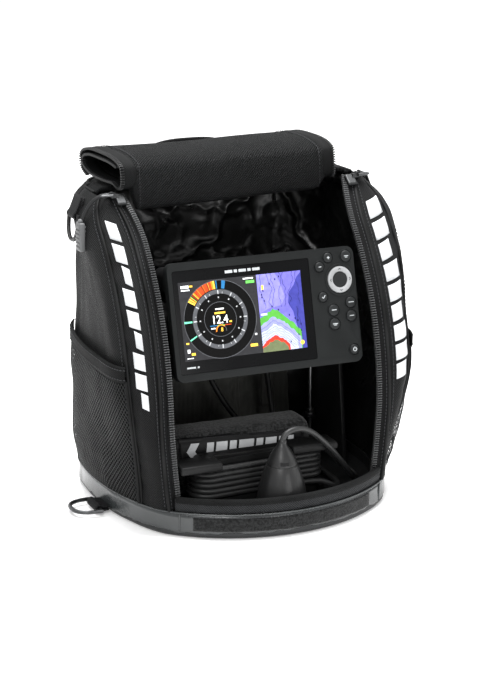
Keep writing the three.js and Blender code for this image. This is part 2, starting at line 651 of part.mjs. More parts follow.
// ---------------------------------------------------------------- display head
// Face coordinates: x right, z up the face, y into the head from the face.
const head = new THREE.Group();
head.position.set(0, HEAD_FACE.y, HEAD_FACE.z);
head.rotation.x = -rad(SCREEN_TILT);
model.add(head);
const PIVOT = { y: PIVOT_BACK, z: 5.5 };

const BEZEL_D = 9;
const GLASS_AREA = { x: -19.8, z: -0.3, w: 128.3, h: 88.5 };
const LCD_AREA = { x: -21.7, z: 0.3, w: 114.5, h: 67.5 };
const PAD = { x: 72.7, z: 22.4, r: 12 };
const BUTTONS = {
  zoom_in: [62.8, 42.4, 4.4],
  zoom_out: [54, 35, 4.4],
  info: [80.2, 42.3, 5.1],
  check: [54.8, 8.6, 4.4],
  menu: [80.9, 1.6, 4.9],
  view: [63.8, -3.8, 5.1],
  exit: [80.5, -10.3, 4.9],
  mark: [63.7, -15.9, 5.1],
  power: [80.3, -39.9, 4.5],
};

// Slab standing in the face's plane, from depth y0 to y1.
function faceSlab(area, radius, y0, y1) {
  const options = { depth: y1 - y0, bevelEnabled: false, curveSegments: 3 };
  const slab = new THREE.ExtrudeGeometry(roundedOutline(area.w, area.h, radius), options);
  return slab.rotateX(Math.PI / 2).translate(area.x, y1, area.z);
}
const faceRod = (x, z, radius, y0, y1, sides = 16) => rod('y', x, y0, z, radius, y1 - y0, sides);
const CENTRED = (w, h) => ({ x: 0, z: 0, w, h });

function frontBezel() {
  const holes = Object.values(BUTTONS).map(([x, z, r]) => faceRod(x, z, r + 0.4, -1, BEZEL_D + 1));
  return cut(
    faceSlab(CENTRED(HEAD_W, HEAD_H), 7, 0, BEZEL_D),
    faceSlab(GLASS_AREA, 2, -1, 3.1),
    faceSlab(LCD_AREA, 1, 2, BEZEL_D + 1),
    faceSlab({ ...LCD_AREA, w: LCD_AREA.w + 7, h: LCD_AREA.h + 7 }, 1, 5, BEZEL_D + 1),
    faceRod(PAD.x, PAD.z, PAD.r + 0.5, -1, BEZEL_D + 1, 24),
    ...holes,
  );
}
add('front_bezel', frontBezel(), BEZEL, head);
const glassArea = { ...GLASS_AREA, w: GLASS_AREA.w - 0.6, h: GLASS_AREA.h - 0.6 };
add('screen_glass', faceSlab(glassArea, 1.8, 0.5, 2.8), GLASS, head);
const lcdArea = { ...LCD_AREA, w: LCD_AREA.w + 6.2, h: LCD_AREA.h + 6.2 };
add('display_panel', faceSlab(lcdArea, 0.8, 5.3, 8.6), GLASS, head);

const HOUSING_W = 173;
function rearHousing() {
  const outer = faceSlab(CENTRED(HOUSING_W, 97), 9, BEZEL_D + GAP, HEAD_D);
  const hollow = faceSlab(CENTRED(150, 86), 4, BEZEL_D - 1, HEAD_D - 3);
  const recess = (sign) => {
    const x = sign * 90;
    return block(x - 9.5, x + 9.5, 12, HEAD_D + 1, PIVOT.z - 34, PIVOT.z + 22);
  };
  const ports = [30, -26].map((x) => faceRod(x, 0, 5, HEAD_D - 5, HEAD_D + 1));
  return cut(outer, hollow, recess(1), recess(-1), ...ports);
}
add('rear_housing', rearHousing(), SHELL, head);

function mainBoard() {
  const board = block(-72, 72, 15, 16.6, -40, 40);
  const chips = [[-30, 10, 26, 26], [20, 14, 18, 12], [24, -18, 30, 10], [-50, -22, 12, 12]]
    .map(([x, z, w, h]) => block(x - w / 2, x + w / 2, 16, 19, z - h / 2, z + h / 2));
  return join(board, ...chips);
}
add('main_board', mainBoard(), BOARD, head);

// Cable gland with a straight strain relief, one in the middle of the back for the transducer.
function cableGland(x) {
  const profile = [[0, 0], [4.7, 0], [4.7, 5], [8, 5.3], [8, 12], [5.5, 15], [4.2, 24], [0, 24]]
    .map(([r, y]) => new THREE.Vector2(r, y));
  return new THREE.LatheGeometry(profile, 12).translate(x, HEAD_D - 5, 0);
}
add('transducer_plug', cableGland(30), SHELL, head);
add('power_plug', cableGland(-26), SHELL, head);

const BUTTON_PROUD = 1.3;
for (const [name, [x, z, r]] of Object.entries(BUTTONS)) {
  add(`button_${name}`, faceRod(x, z, r, -BUTTON_PROUD, BEZEL_D - 2), KEY, head);
}
// Four-way pad: a dished disc with a raised ring, rocking on a small gimbal plate beneath it.
function cursorPad() {
  const profile = [
    [0, 0.4], [6, 0.4], [8, -0.9], [9, -1.3], [11, -1.3], [PAD.r - 0.2, -0.6], [PAD.r - 0.2, 2.5],
    [5, 4], [0, 4],
  ].map(([r, y]) => new THREE.Vector2(r, y));
  return new THREE.LatheGeometry(profile, 24).translate(PAD.x, 0, PAD.z);
}
add('cursor_pad', cursorPad(), RING_LIGHT, head);
add('cursor_pivot', faceRod(PAD.x, PAD.z, 5, 4.4, 7.4), SHELL, head);

// ---------------------------------------------------------------- gimbal
const pivotWorld = vec(0, PIVOT.y, PIVOT.z).applyEuler(head.rotation).add(head.position);
const ARM_X = 80.8;
const ARM_T = 3.5;
const BRACKET_Z = SHELF_Z + 4 + GAP;
function gimbalBracket() {
  const arm = () => {
    const outline = new THREE.Shape();
    outline.moveTo(46, BRACKET_Z);
    outline.lineTo(46, BRACKET_Z + 9);
    outline.lineTo(pivotWorld.y + 9, pivotWorld.z + 9);
    outline.absarc(pivotWorld.y, pivotWorld.z, 12.5, Math.PI / 4, 1.25 * Math.PI);
    outline.lineTo(8, BRACKET_Z);
    outline.closePath();
    const options = { depth: ARM_T, bevelEnabled: false, curveSegments: 8 };
    const plate = new THREE.ExtrudeGeometry(outline, options);
    return plate.rotateX(Math.PI / 2).rotateZ(Math.PI / 2);
  };
  const base = block(-ARM_X - ARM_T, ARM_X + ARM_T, 8, 46, BRACKET_Z, BRACKET_Z + 3.5);
  const right = arm().translate(ARM_X, 0, 0);
  const left = arm().translate(-ARM_X - ARM_T, 0, 0);
  return join(base, right, left);
}
add('gimbal_bracket', gimbalBracket(), SHELL);

// Hand knob: a scalloped grip on a flange, outside the arm.
function gimbalKnob() {
  const lobes = 8;
  const outline = new THREE.Shape();
  const steps = 48;
  for (let i = 0; i <= steps; i++) {
    const angle = (i / steps) * 2 * Math.PI;
    const r = KNOB_R - 1 + Math.cos(lobes * angle);
    if (i === 0) outline.moveTo(r, 0);
    else if (i < steps) outline.lineTo(r * Math.cos(angle), r * Math.sin(angle));
  }
  outline.closePath();
  const grip = new THREE.ExtrudeGeometry(outline, { depth: 11, bevelEnabled: false });
  return grip.rotateY(Math.PI / 2).translate(ARM_X + ARM_T + GAP, PIVOT.y, PIVOT.z);
}
const knob = gimbalKnob();
add('gimbal_knob_right', knob, SHELL, head);
add('gimbal_knob_left', mirrored(knob), SHELL, head);

// The part's origin is under the middle of its outline, at the height of the ground it stands on.
const outline = new THREE.Box3().setFromObject(model, true);
model.position.set(
  -(outline.min.x + outline.max.x) / 2,
  -(outline.min.y + outline.max.y) / 2,
  -outline.min.z,
);

export default model;
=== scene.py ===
"""Looks for the portable fish finder kit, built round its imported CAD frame. Lengths are in
millimetres in the part's own drawing frame, and P() turns them into the row frame's metres."""

import math

import bpy
import bmesh
import numpy as np
from mathutils import Matrix, Vector, noise


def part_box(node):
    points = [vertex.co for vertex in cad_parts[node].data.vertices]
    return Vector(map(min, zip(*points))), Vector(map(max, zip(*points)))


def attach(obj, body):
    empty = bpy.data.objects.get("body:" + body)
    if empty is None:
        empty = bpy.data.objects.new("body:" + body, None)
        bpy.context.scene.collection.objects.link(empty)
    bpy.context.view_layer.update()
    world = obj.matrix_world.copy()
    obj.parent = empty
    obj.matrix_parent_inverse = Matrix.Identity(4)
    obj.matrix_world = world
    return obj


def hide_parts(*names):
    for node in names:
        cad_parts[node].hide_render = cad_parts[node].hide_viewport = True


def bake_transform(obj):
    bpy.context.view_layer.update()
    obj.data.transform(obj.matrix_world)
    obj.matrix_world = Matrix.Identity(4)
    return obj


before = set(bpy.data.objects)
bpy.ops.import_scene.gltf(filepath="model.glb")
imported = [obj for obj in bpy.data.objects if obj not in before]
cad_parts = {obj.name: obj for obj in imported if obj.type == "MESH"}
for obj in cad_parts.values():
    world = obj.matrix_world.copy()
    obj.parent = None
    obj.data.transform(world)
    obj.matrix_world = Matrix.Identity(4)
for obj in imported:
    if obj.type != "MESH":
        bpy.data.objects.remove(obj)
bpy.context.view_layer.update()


MM = 0.001
BOOT_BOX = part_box("bottom_boot")
SIDES = (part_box("side_panel_left")[0].x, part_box("side_panel_right")[1].x)
FRONT_ARC_Y = -124.0                         # the foremost point of the base, in the drawing frame
SHIFT = Vector((sum(SIDES) / 2 / MM, BOOT_BOX[0].y / MM - FRONT_ARC_Y, 0))


def P(x, y, z):
    """The drawing frame's millimetres in the row frame's metres: x right, y back, z up."""
    return (Vector((x, y, z)) + SHIFT) * MM


# ------------------------------------------------------------------ camera, floor and light
def link(obj):
    bpy.context.scene.collection.objects.link(obj)
    return obj


def aim(obj, target):
    obj.rotation_euler = (Vector(target) - obj.location).to_track_quat("-Z", "Y").to_euler()


def camera():
    azimuth, pitch, distance = math.radians(23.87), math.radians(15.5), 1.79128
    target = P(9.91, 0, 143.04)
    data = bpy.data.cameras.new("camera")
    data.lens, data.sensor_width, data.clip_end = 320 / 3, 36.0, 50
    obj = link(bpy.data.objects.new("camera", data))
    obj.location = target + distance * Vector((
        -math.sin(azimuth) * math.cos(pitch), -math.cos(azimuth) * math.cos(pitch), math.sin(pitch)))
    aim(obj, target)
    bpy.context.scene.camera = obj


def area_light(name, place, target, size, watts):
    data = bpy.data.lights.new(name, "AREA")
    data.energy, data.size = watts, size
    obj = link(bpy.data.objects.new(name, data))
    obj.location = place
    aim(obj, target)


def studio():
    world = bpy.data.worlds.new("studio")
    bpy.context.scene.world = world
    world.use_nodes = True
    background = world.node_tree.nodes["Background"]
    background.inputs["Color"].default_value = (1, 1, 1, 1)
    background.inputs["Strength"].default_value = 0.88
    middle = (0, 0, 0.14)
    area_light("light_key", (-1.1, -1.5, 1.5), middle, 0.7, 19)
    area_light("light_fill", (1.7, -0.8, 0.9), middle, 0.9, 4.5)
    area_light("light_above", (0.1, 0.2, 1.7), middle, 1.0, 78)
    area_light("light_front", (0.35, -1.9, 0.35), (0, 0, 0.1), 0.5, 5)
    data = bpy.data.meshes.new("floor")
    half, low = 30.0, -0.0004                  # metres: the floor's half width, and its height under the part
    corners = ((-half, -half), (half, -half), (half, half), (-half, half))
    data.from_pydata([(x, y, low) for x, y in corners], [], [(0, 1, 2, 3)])
    floor = link(bpy.data.objects.new("floor", data))
    mat = bpy.data.materials.new("floor_paper")
    mat.use_nodes = True
    shader = mat.node_tree.nodes["Principled BSDF"]
    shader.inputs["Base Color"].default_value = (0.86, 0.86, 0.86, 1)
    shader.inputs["Roughness"].default_value = 0.6
    shader.inputs["Emission Color"].default_value = (1, 1, 1, 1)
    shader.inputs["Emission Strength"].default_value = 0.25
    data.materials.append(mat)
    bpy.context.scene.view_settings.view_transform = "Standard"


camera()
studio()


# ------------------------------------------------------------------ materials
class Look:
    """A principled material with helpers for its nodes."""

    def __init__(self, name, color, rough, metal=0.0, spec=0.5, **sockets):
        self.mat = bpy.data.materials.new(name)
        self.mat.use_nodes = True
        self.tree = self.mat.node_tree
        self.shader = self.tree.nodes["Principled BSDF"]
        self.color = color
        self.rough = rough
        put = self.shader.inputs
        put["Base Color"].default_value = (*color, 1)
        put["Roughness"].default_value = rough
        put["Metallic"].default_value = metal
        put["Specular IOR Level"].default_value = spec
        for key, value in sockets.items():
            put[key.replace("_", " ")].default_value = value

    def add(self, kind, **props):
        node = self.tree.nodes.new("ShaderNode" + kind)
        for key, value in props.items():
            setattr(node, key, value)
        return node

    def link(self, out, into):
        self.tree.links.new(out, into)

    def math(self, op, a, b=None):
        node = self.add("Math", operation=op)
        for i, value in enumerate((a, b)):
            if value is None:
                continue
            if isinstance(value, (int, float)):
                node.inputs[i].default_value = value
            else:
                self.link(value, node.inputs[i])
        return node.outputs[0]

    def coords(self, uv=False):
        if uv:
            return self.add("UVMap", uv_map="cloth").outputs["UV"]
        return self.add("TexCoord").outputs["Object"]

    def noise(self, scale, detail=3.0, rough=0.55, stretch=None):
        node = self.add("TexNoise")
        node.inputs["Scale"].default_value = scale
        node.inputs["Detail"].default_value = detail
        node.inputs["Roughness"].default_value = rough
        source = self.coords()
        if stretch:
            mapping = self.add("Mapping")
            mapping.inputs["Scale"].default_value = stretch
            self.link(source, mapping.inputs["Vector"])
            source = mapping.outputs["Vector"]
        self.link(source, node.inputs["Vector"])
        return node.outputs["Fac"]

    def ramp(self, value, stops):
        node = self.add("ValToRGB")
        marks = node.color_ramp.elements
        while len(marks) < len(stops):
            marks.new(0.5)
        for mark, (at, color) in zip(marks, stops):
            mark.position = at
            mark.color = (*color, 1)
        self.link(value, node.inputs["Fac"])
        return node.outputs["Color"]

    def vary(self, value, low, high, span=0.2):
        """Base colour from low to high times the look's colour."""
        dark, light = (tuple(c * share for c in self.color) for share in (low, high))
        stops = [(0.5 - span, dark), (0.5 + span, light)]
        self.link(self.ramp(value, stops), self.shader.inputs["Base Color"])
        return self

    def roughen(self, value, low, high):
        self.link(self.scaled(value, low, high), self.shader.inputs["Roughness"])
        return self

    def scaled(self, value, low, high):
        return self.math("ADD", self.math("MULTIPLY", value, high - low), low)

    def bump(self, height, depth, strength):
        node = self.add("Bump")
        node.inputs["Distance"].default_value = depth
        node.inputs["Strength"].default_value = strength
        self.link(height, node.inputs["Height"])
        previous = self.shader.inputs["Normal"].links
        if previous:
            self.link(previous[0].from_socket, node.inputs["Normal"])
        self.link(node.outputs["Normal"], self.shader.inputs["Normal"])
        return self

    def weave(self, pitch, uv, twill):
        """Height of a woven ground: crossing threads, or slanted ones for a twill; pitch is in metres."""
        split = self.add("SeparateXYZ")
        self.link(self.coords(uv), split.inputs[0])
        turn = 2 * math.pi / pitch
        x, y = split.outputs[0], split.outputs[1]
        if twill:
            slant = self.math("SINE", self.math("MULTIPLY", self.math("ADD", x, y), turn))
            cross = self.math("SINE", self.math("MULTIPLY", self.math("SUBTRACT", x, y), turn * 1.9))
            return self.math("ADD", slant, self.math("MULTIPLY", cross, 0.6))
        across = self.math("SINE", self.math("MULTIPLY", x, turn))
        along = self.math("SINE", self.math("MULTIPLY", y, turn))
        return self.math("MULTIPLY", across, along)


def woven(name, color, pitch, rough, depth=0.00025, light=1.5, uv=True, twill=True, spec=0.15, grain=0.42):
    """Cloth: light is how far its lit threads rise over its colour, grain how much the weave counts."""
    look = Look(name, color, rough, spec=spec)
    height = look.weave(pitch, uv, twill)
    broad = look.noise(22, 4)
    mixed = look.math("ADD", look.math("MULTIPLY", height, grain if twill else grain * 0.75), broad)
    look.vary(mixed, 0.4, light, 0.16)
    look.bump(height, depth, 0.8)
    look.bump(look.noise(900, 2), 0.0002, 0.4)
    return look.mat


def plastic(name, color, rough, grain=900, depth=0.00008, spec=0.3):
    look = Look(name, color, rough, spec=spec)
    look.vary(look.noise(45, 4), 0.85, 1.18)
    look.roughen(look.noise(60, 3), rough * 0.85, rough * 1.2)
    look.bump(look.noise(grain, 2), depth, 0.6)
    return look.mat


def metal(name, color, rough):
    look = Look(name, color, rough, metal=1.0)
    look.roughen(look.noise(160, 4, stretch=(1, 1, 6)), rough * 0.7, rough * 1.5)
    look.bump(look.noise(700, 2), 0.00004, 0.5)
    return look.mat


def loop_cloth(name, color, scale, light):
    """The fuzzy side of hook-and-loop fabric."""
    look = Look(name, color, 0.95, spec=0.15, Sheen_Weight=0.12, Sheen_Roughness=0.5)
    fuzz = look.noise(scale, 3, 0.8)
    look.vary(fuzz, 0.25, light, 0.1)
    look.bump(fuzz, 0.0011, 0.9)
    return look.mat


TWILL = woven("twill", (0.0058, 0.0061, 0.0063), 0.0023, rough=0.62, depth=0.0006, light=2.4, spec=0.11,
              grain=0.6)
BORDER = woven("border_twill", (0.0046, 0.0048, 0.005), 0.0021, rough=0.64, depth=0.0005, light=2.2,
               spec=0.13, grain=0.55)
LIP_TWILL = woven("lip_twill", (0.0145, 0.0152, 0.0162), 0.0021, rough=0.62, depth=0.0004, light=2.2,
                  grain=0.5)
ROLL_TWILL = woven("roll_twill", (0.0125, 0.013, 0.0134), 0.0026, rough=0.55, depth=0.0011, light=2.9,
                   grain=1.1)
BINDING = woven("binding", (0.0036, 0.0038, 0.0039), 0.0018, rough=0.75, light=1.8, twill=False, spec=0.1)
WEBBING = woven("webbing", (0.0062, 0.0065, 0.007), 0.0024, rough=0.7, light=1.8)
STITCH = plastic("thread", (0.022, 0.023, 0.025), 0.6)
LINING = Look("lining", (0.0034, 0.0035, 0.0035), 0.3, spec=0.36)
LINING.vary(LINING.noise(30, 4), 0.7, 1.35)
LINING.roughen(LINING.noise(55, 4), 0.2, 0.42)
LINING.bump(LINING.noise(1400, 2), 0.0001, 0.4)
LINING = LINING.mat
BACK_PAD = woven("inner_back", (0.07, 0.071, 0.065), 0.0013, rough=0.85, light=1.3, uv=False, twill=False)
# Painted shade: a darker copy of the twill for the side behind the net, in place of the net's shadow.
POCKET_SHADE = woven("pocket_shade", (0.002, 0.0021, 0.0022), 0.0017, rough=0.9, spec=0.03)
NET = plastic("net", (0.0165, 0.017, 0.0172), 0.5, spec=0.2)
TEETH = plastic("teeth", (0.05, 0.051, 0.052), 0.36, spec=0.4)
FLAP_TEETH = plastic("flap_teeth", (0.016, 0.0163, 0.0167), 0.4, spec=0.25)
TAPE = woven("zip_tape", (0.0032, 0.0033, 0.0035), 0.0016, rough=0.85, light=1.9, twill=False, spec=0.12)
STEEL = metal("steel", (0.34, 0.345, 0.35), 0.3)
DARK_STEEL = metal("dark_steel", (0.08, 0.082, 0.084), 0.34)
SLIDER = metal("slider_metal", (0.04, 0.041, 0.042), 0.42)
RUBBER = plastic("grip_rubber", (0.1, 0.102, 0.104), 0.5)
BLACK_MOULD = plastic("black_mould", (0.006, 0.0061, 0.0065), 0.36)
SHELL = plastic("shell", (0.0045, 0.0046, 0.0049), 0.42, grain=600, depth=0.00015)
EARS = plastic("wrap_ears", (0.0055, 0.0056, 0.0057), 0.45, grain=700, depth=0.0001, spec=0.17)
BEZEL = plastic("bezel", (0.0068, 0.0077, 0.0078), 0.5, grain=1500, depth=0.0001, spec=0.13)
KEY = plastic("keys", (0.0085, 0.0096, 0.01), 0.5, spec=0.2)
KEY_MARK = plastic("key_marks", (0.42, 0.44, 0.45), 0.6)
PALE = plastic("pale_ring", (0.27, 0.275, 0.28), 0.4)
CABLE = plastic("cable_jacket", (0.0145, 0.0148, 0.015), 0.44, grain=1200, spec=0.36)
CONE = plastic("transducer", (0.007, 0.0071, 0.0073), 0.36, grain=900, depth=0.0001, spec=0.38)
WRAP = loop_cloth("wrap_cloth", (0.0085, 0.0087, 0.0088), 420, 3.8)
LOOP = loop_cloth("loop_patch", (0.0062, 0.0064, 0.0065), 520, 2.8)
LABEL = plastic("label", (0.003, 0.003, 0.0034), 0.5, spec=0.2)
PRINT = plastic("pale_print", (0.46, 0.47, 0.48), 0.6)
BOARD = plastic("board", (0.012, 0.09, 0.03), 0.45)
COATED = Look("coated_fabric", (0.024, 0.0268, 0.0275), 0.26, spec=0.5)
COATED.vary(COATED.noise(16, 5), 0.7, 1.35)
COATED.roughen(COATED.noise(40, 4), 0.14, 0.36)
COATED.bump(COATED.noise(500, 3), 0.00012, 0.6)
COATED.bump(COATED.noise(26, 3), 0.002, 0.3)
COATED = COATED.mat
BOTTOM = plastic("bottom_cloth", (0.013, 0.0137, 0.0145), 0.5)


# ------------------------------------------------------------------ mesh helpers
def mesh_piece(name, points, faces, mat, body, smooth=True, uvs=None):
    """One visible piece on a body. Its points are in millimetres in the drawing frame."""
    data = bpy.data.meshes.new(name)
    data.from_pydata([P(*p) for p in points], [], faces)
    if uvs is not None:
        layer = data.uv_layers.new(name="cloth")
        loops = np.zeros(len(data.loops), int)
        data.loops.foreach_get("vertex_index", loops)
        layer.data.foreach_set("uv", np.asarray(uvs, np.float32)[loops].ravel())
    data.validate()
    obj = link(bpy.data.objects.new(name, data))
    finish_piece(obj, mat, body, smooth)
    return obj


def finish_piece(obj, mat, body, smooth=True):
    data = obj.data
    data.materials.clear()
    data.materials.append(mat)
    if smooth:
        data.polygons.foreach_set("use_smooth", [True] * len(data.polygons))
    turn_out(data)
    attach(obj, body)


def turn_out(data):
    """Turns every face outwards."""
    bm = bmesh.new()
    bm.from_mesh(data)
    bmesh.ops.recalc_face_normals(bm, faces=bm.faces)
    bm.to_mesh(data)
    bm.free()


def apply(obj):
    """Applies every modifier."""
    graph = bpy.context.evaluated_depsgraph_get()
    graph.update()
    made = bpy.data.meshes.new_from_object(obj.evaluated_get(graph))
    obj.modifiers.clear()
    old, name = obj.data, obj.data.name
    obj.data = made
    bpy.data.meshes.remove(old)
    made.name = name


def bevel(obj, width, segments, angle=30):
    mod = obj.modifiers.new("bevel", "BEVEL")
    mod.width = width * MM
    mod.segments = segments
    mod.limit_method = "ANGLE"
    mod.angle_limit = math.radians(angle)
    mod.harden_normals = False
    apply(obj)


def thicken(obj, thick):
    mod = obj.modifiers.new("thick", "SOLIDIFY")
    mod.thickness = thick * MM
    mod.offset = 0
    apply(obj)


def shell_faces(nu, nv, start=0):
    """A closed sheet: a grid of nu by nv cells, its twin behind it, and the rim between them."""
    half = (nu + 1) * (nv + 1)
    at = lambda i, j, side=0: start + side * half + j * (nu + 1) + i
    cells = [(i, j) for j in range(nv) for i in range(nu)]
    faces = [(at(i, j), at(i + 1, j), at(i + 1, j + 1), at(i, j + 1)) for i, j in cells]
    faces += [(at(i, j, 1), at(i, j + 1, 1), at(i + 1, j + 1, 1), at(i + 1, j, 1)) for i, j in cells]
    for i in range(nu):
        faces += [(at(i, 0), at(i, 0, 1), at(i + 1, 0, 1), at(i + 1, 0)),
                  (at(i, nv), at(i + 1, nv), at(i + 1, nv, 1), at(i, nv, 1))]
    for j in range(nv):
        faces += [(at(0, j), at(0, j + 1), at(0, j + 1, 1), at(0, j, 1)),
                  (at(nu, j), at(nu, j, 1), at(nu, j + 1, 1), at(nu, j + 1))]
    return faces


def loft_faces(rings, n, start=0, closed=False, caps=True):
    """A skin over rings of n points each, which can run round in a circle or be capped at its ends."""
    faces = []
    for i in range(rings if closed else rings - 1):
        a, b = start + i * n, start + (i + 1) % rings * n
        faces += [(a + k, a + (k + 1) % n, b + (k + 1) % n, b + k) for k in range(n)]
    if caps:
        last = start + (rings - 1) * n
        faces += [tuple(range(start, start + n))[::-1], tuple(range(last, last + n))]
    return faces


def blocks(name, boxes, mat, round_off, body="case", segments=2):
    """Separate bevelled blocks ((x0, x1), (y0, y1), (z0, z1)) as one piece."""
    points, faces = [], []
    for (x0, x1), (y0, y1), (z0, z1) in boxes:
        start = len(points)
        points += [(x, y, z) for x in (x0, x1) for y in (y0, y1) for z in (z0, z1)]
        faces += [tuple(start + i for i in f) for f in
                  ((0, 1, 3, 2), (4, 6, 7, 5), (0, 4, 5, 1), (2, 3, 7, 6), (0, 2, 6, 4), (1, 5, 7, 3))]
    obj = mesh_piece(name, points, faces, mat, body, smooth=False)
    bevel(obj, round_off, segments)
    shade_by_angle(obj, 35)
    return obj


def shade_by_angle(obj, degrees):
    obj.data.polygons.foreach_set("use_smooth", [True] * len(obj.data.polygons))
    obj.data.set_sharp_from_angle(angle=math.radians(degrees))


def tube(name, route, radius, mat, body="case", sides=12, closed=False):
    """A round tube along points."""
    line = [Vector(p) for p in route]
    count = len(line)
    points, previous = [], None
    for i, p in enumerate(line):
        a = line[(i - 1) % count] if closed or i else line[0]
        b = line[(i + 1) % count] if closed or i < count - 1 else line[-1]
        tangent = (b - a).normalized()
        if previous is None:
            side = tangent.orthogonal().normalized()
        else:
            side = (previous - tangent * previous.dot(tangent)).normalized()
        previous = side
        up = tangent.cross(side)
        for k in range(sides):
            angle = 2 * math.pi * k / sides
            points.append(p + radius * (math.cos(angle) * side + math.sin(angle) * up))
    faces = loft_faces(count, sides, closed=closed, caps=not closed)
    return mesh_piece(name, points, faces, mat, body)


def spline(points, count, closed=False):
    """Even steps along a centripetal Catmull-Rom curve."""
    knots = [Vector(p) for p in points]
    n = len(knots)
    fine = []
    spans = n if closed else n - 1
    for i in range(spans):
        pick = (lambda k: knots[k % n]) if closed else (lambda k: knots[min(max(k, 0), n - 1)])
        p0, p1, p2, p3 = pick(i - 1), pick(i), pick(i + 1), pick(i + 2)
        if not closed and i == 0:
            p0 = p1 * 2 - p2
        if not closed and i == spans - 1:
            p3 = p2 * 2 - p1
        t1 = max(1e-6, (p1 - p0).length ** 0.5)
        t2 = t1 + max(1e-6, (p2 - p1).length ** 0.5)
        t3 = t2 + max(1e-6, (p3 - p2).length ** 0.5)
        for k in range(24):
            t = t1 + (t2 - t1) * k / 24
            a1 = p0 * ((t1 - t) / t1) + p1 * (t / t1)
            a2 = p1 * ((t2 - t) / (t2 - t1)) + p2 * ((t - t1) / (t2 - t1))
            a3 = p2 * ((t3 - t) / (t3 - t2)) + p3 * ((t - t2) / (t3 - t2))
            b1 = a1 * ((t2 - t) / t2) + a2 * (t / t2)
            b2 = a2 * ((t3 - t) / (t3 - t1)) + a3 * ((t - t1) / (t3 - t1))
            fine.append(b1 * ((t2 - t) / (t2 - t1)) + b2 * ((t - t1) / (t2 - t1)))
    fine.append(knots[0].copy() if closed else knots[-1].copy())
    return even(fine, count, closed)


def even(fine, count, closed=False):
    """The same line in even steps."""
    lengths = [0.0]
    for a, b in zip(fine, fine[1:]):
        lengths.append(lengths[-1] + (b - a).length)
    out, j = [], 0
    for i in range(count):
        want = lengths[-1] * i / (count if closed else count - 1)
        while j < len(fine) - 2 and lengths[j + 1] < want:
            j += 1
        span = lengths[j + 1] - lengths[j]
        out.append(fine[j].lerp(fine[j + 1], 0 if span < 1e-9 else (want - lengths[j]) / span))
    return out


def length_of(line):
    return sum((b - a).length for a, b in zip(line, line[1:]))


# ------------------------------------------------------------------ the case's surface
BOOT_TOP, BACK_Y, BACK_CORNER = 22.0, 117.0, 50.0        # the boot's rim, the back and its corners' radius
HALF_BASE, HALF_MID, HALF_REAR = 128.0, 138.0, 130.0     # half widths: at the foot, above it, and at the rear
DOME_START, DOME_R = 255.0, 28.0                         # where the walls round over into the top
ZIP_TOP, FRONT_Y = 281.0, -82.5                          # the zippers' upper end and their y at the foot
ZIP_LEAN, ZIP_STRAIGHT, ZIP_RISE = 93.5, 72.0, 210.0     # how far, from where and over what height they lean
BOTH_SIDES = ((1, "right"), (-1, "left"))


FINE = 2                            # how finely the larger pieces are divided


def clamp01(t):
    return min(1.0, max(0.0, t))


def smooth(t):
    t = clamp01(t)
    return t * t * (3 - 2 * t)


def lerp(a, b, t):
    return a + (b - a) * t


def mirrored(p, side):
    """Most shapes are drawn on the right, side 1; the left one is side -1."""
    return Vector((side * p.x, p.y, p.z))


def zipper_y(z):
    return FRONT_Y + ZIP_LEAN * clamp01((z - ZIP_STRAIGHT) / ZIP_RISE) ** 2.6


def zipper_x(z):
    """A little closer together at the foot and apart at the top."""
    return 104 - 6.5 * clamp01((102 - z) / 80) ** 1.5 + 8 * clamp01((z - 242) / 39) ** 2


def case_point(u, s):
    """The case's right half: u runs 0 zipper, 1-2 side, 2-3 back corner, 4 middle of the back."""
    roll = max(0.0, s - DOME_START) / DOME_R
    z = min(s, DOME_START) + DOME_R * math.sin(min(roll, math.pi / 2))
    inset = DOME_R * (1 - math.cos(min(roll, math.pi / 2)))
    low = 1 - smooth((z - BOOT_TOP) / 110)
    grow = smooth((z - BOOT_TOP) / 130)
    front = zipper_y(z)
    w = lerp(HALF_BASE, HALF_MID, grow) - inset
    rear = lerp(HALF_BASE, HALF_REAR, grow) - inset
    back, corner = BACK_Y - inset, BACK_CORNER - inset
    start = (zipper_x(z) + 4.2, front)
    end = (w, front + 45 + 27 * low)
    control = (w + 4 - 14 * low, front - 8 + 24 * low)
    if u < 1:
        a, b, c = (1 - u) ** 2, 2 * u * (1 - u), u * u
        return Vector((a * start[0] + b * control[0] + c * end[0],
                       a * start[1] + b * control[1] + c * end[1], z))
    if u < 2:
        t = u - 1
        return Vector((end[0] + (rear - end[0]) * t + 2.5 * math.sin(math.pi * t),
                       end[1] + (BACK_Y - BACK_CORNER - end[1]) * t, z))
    if u < 3:
        angle = (u - 2) * math.pi / 2
        return Vector((rear - corner + corner * math.cos(angle),
                       back - corner + corner * math.sin(angle), z))
    return Vector(((rear - corner) * (4 - u), back, z))


def round_case(w, s):
    """w from -1 (left zipper) over 0 (middle of the back) to 1 (right zipper)."""
    p = case_point(4 - 4 * abs(w), s)
    return mirrored(p, -1) if w < 0 else p


CASE_MIDDLE = Vector((0, 10, 140))


def normal_at(fn, u, v):
    """The surface's outward direction."""
    step = 2e-3
    du = fn(min(1, u + step), v) - fn(max(0, u - step), v)
    dv = fn(u, min(1, v + step)) - fn(u, max(0, v - step))
    n = du.cross(dv)
    if n.length < 1e-9:
        return Vector((0, 0, 1))
    n.normalize()
    return -n if n.dot(fn(u, v) - CASE_MIDDLE) < 0 else n


def ripple(p, scale, seed, octaves=3):
    """Smooth noise from about -1 to 1 at a point in millimetres."""
    q = Vector(p) / scale + Vector((seed, seed * 1.7, seed * 0.6))
    return noise.fractal(q, 1.0, 2.0, octaves) * 1.2


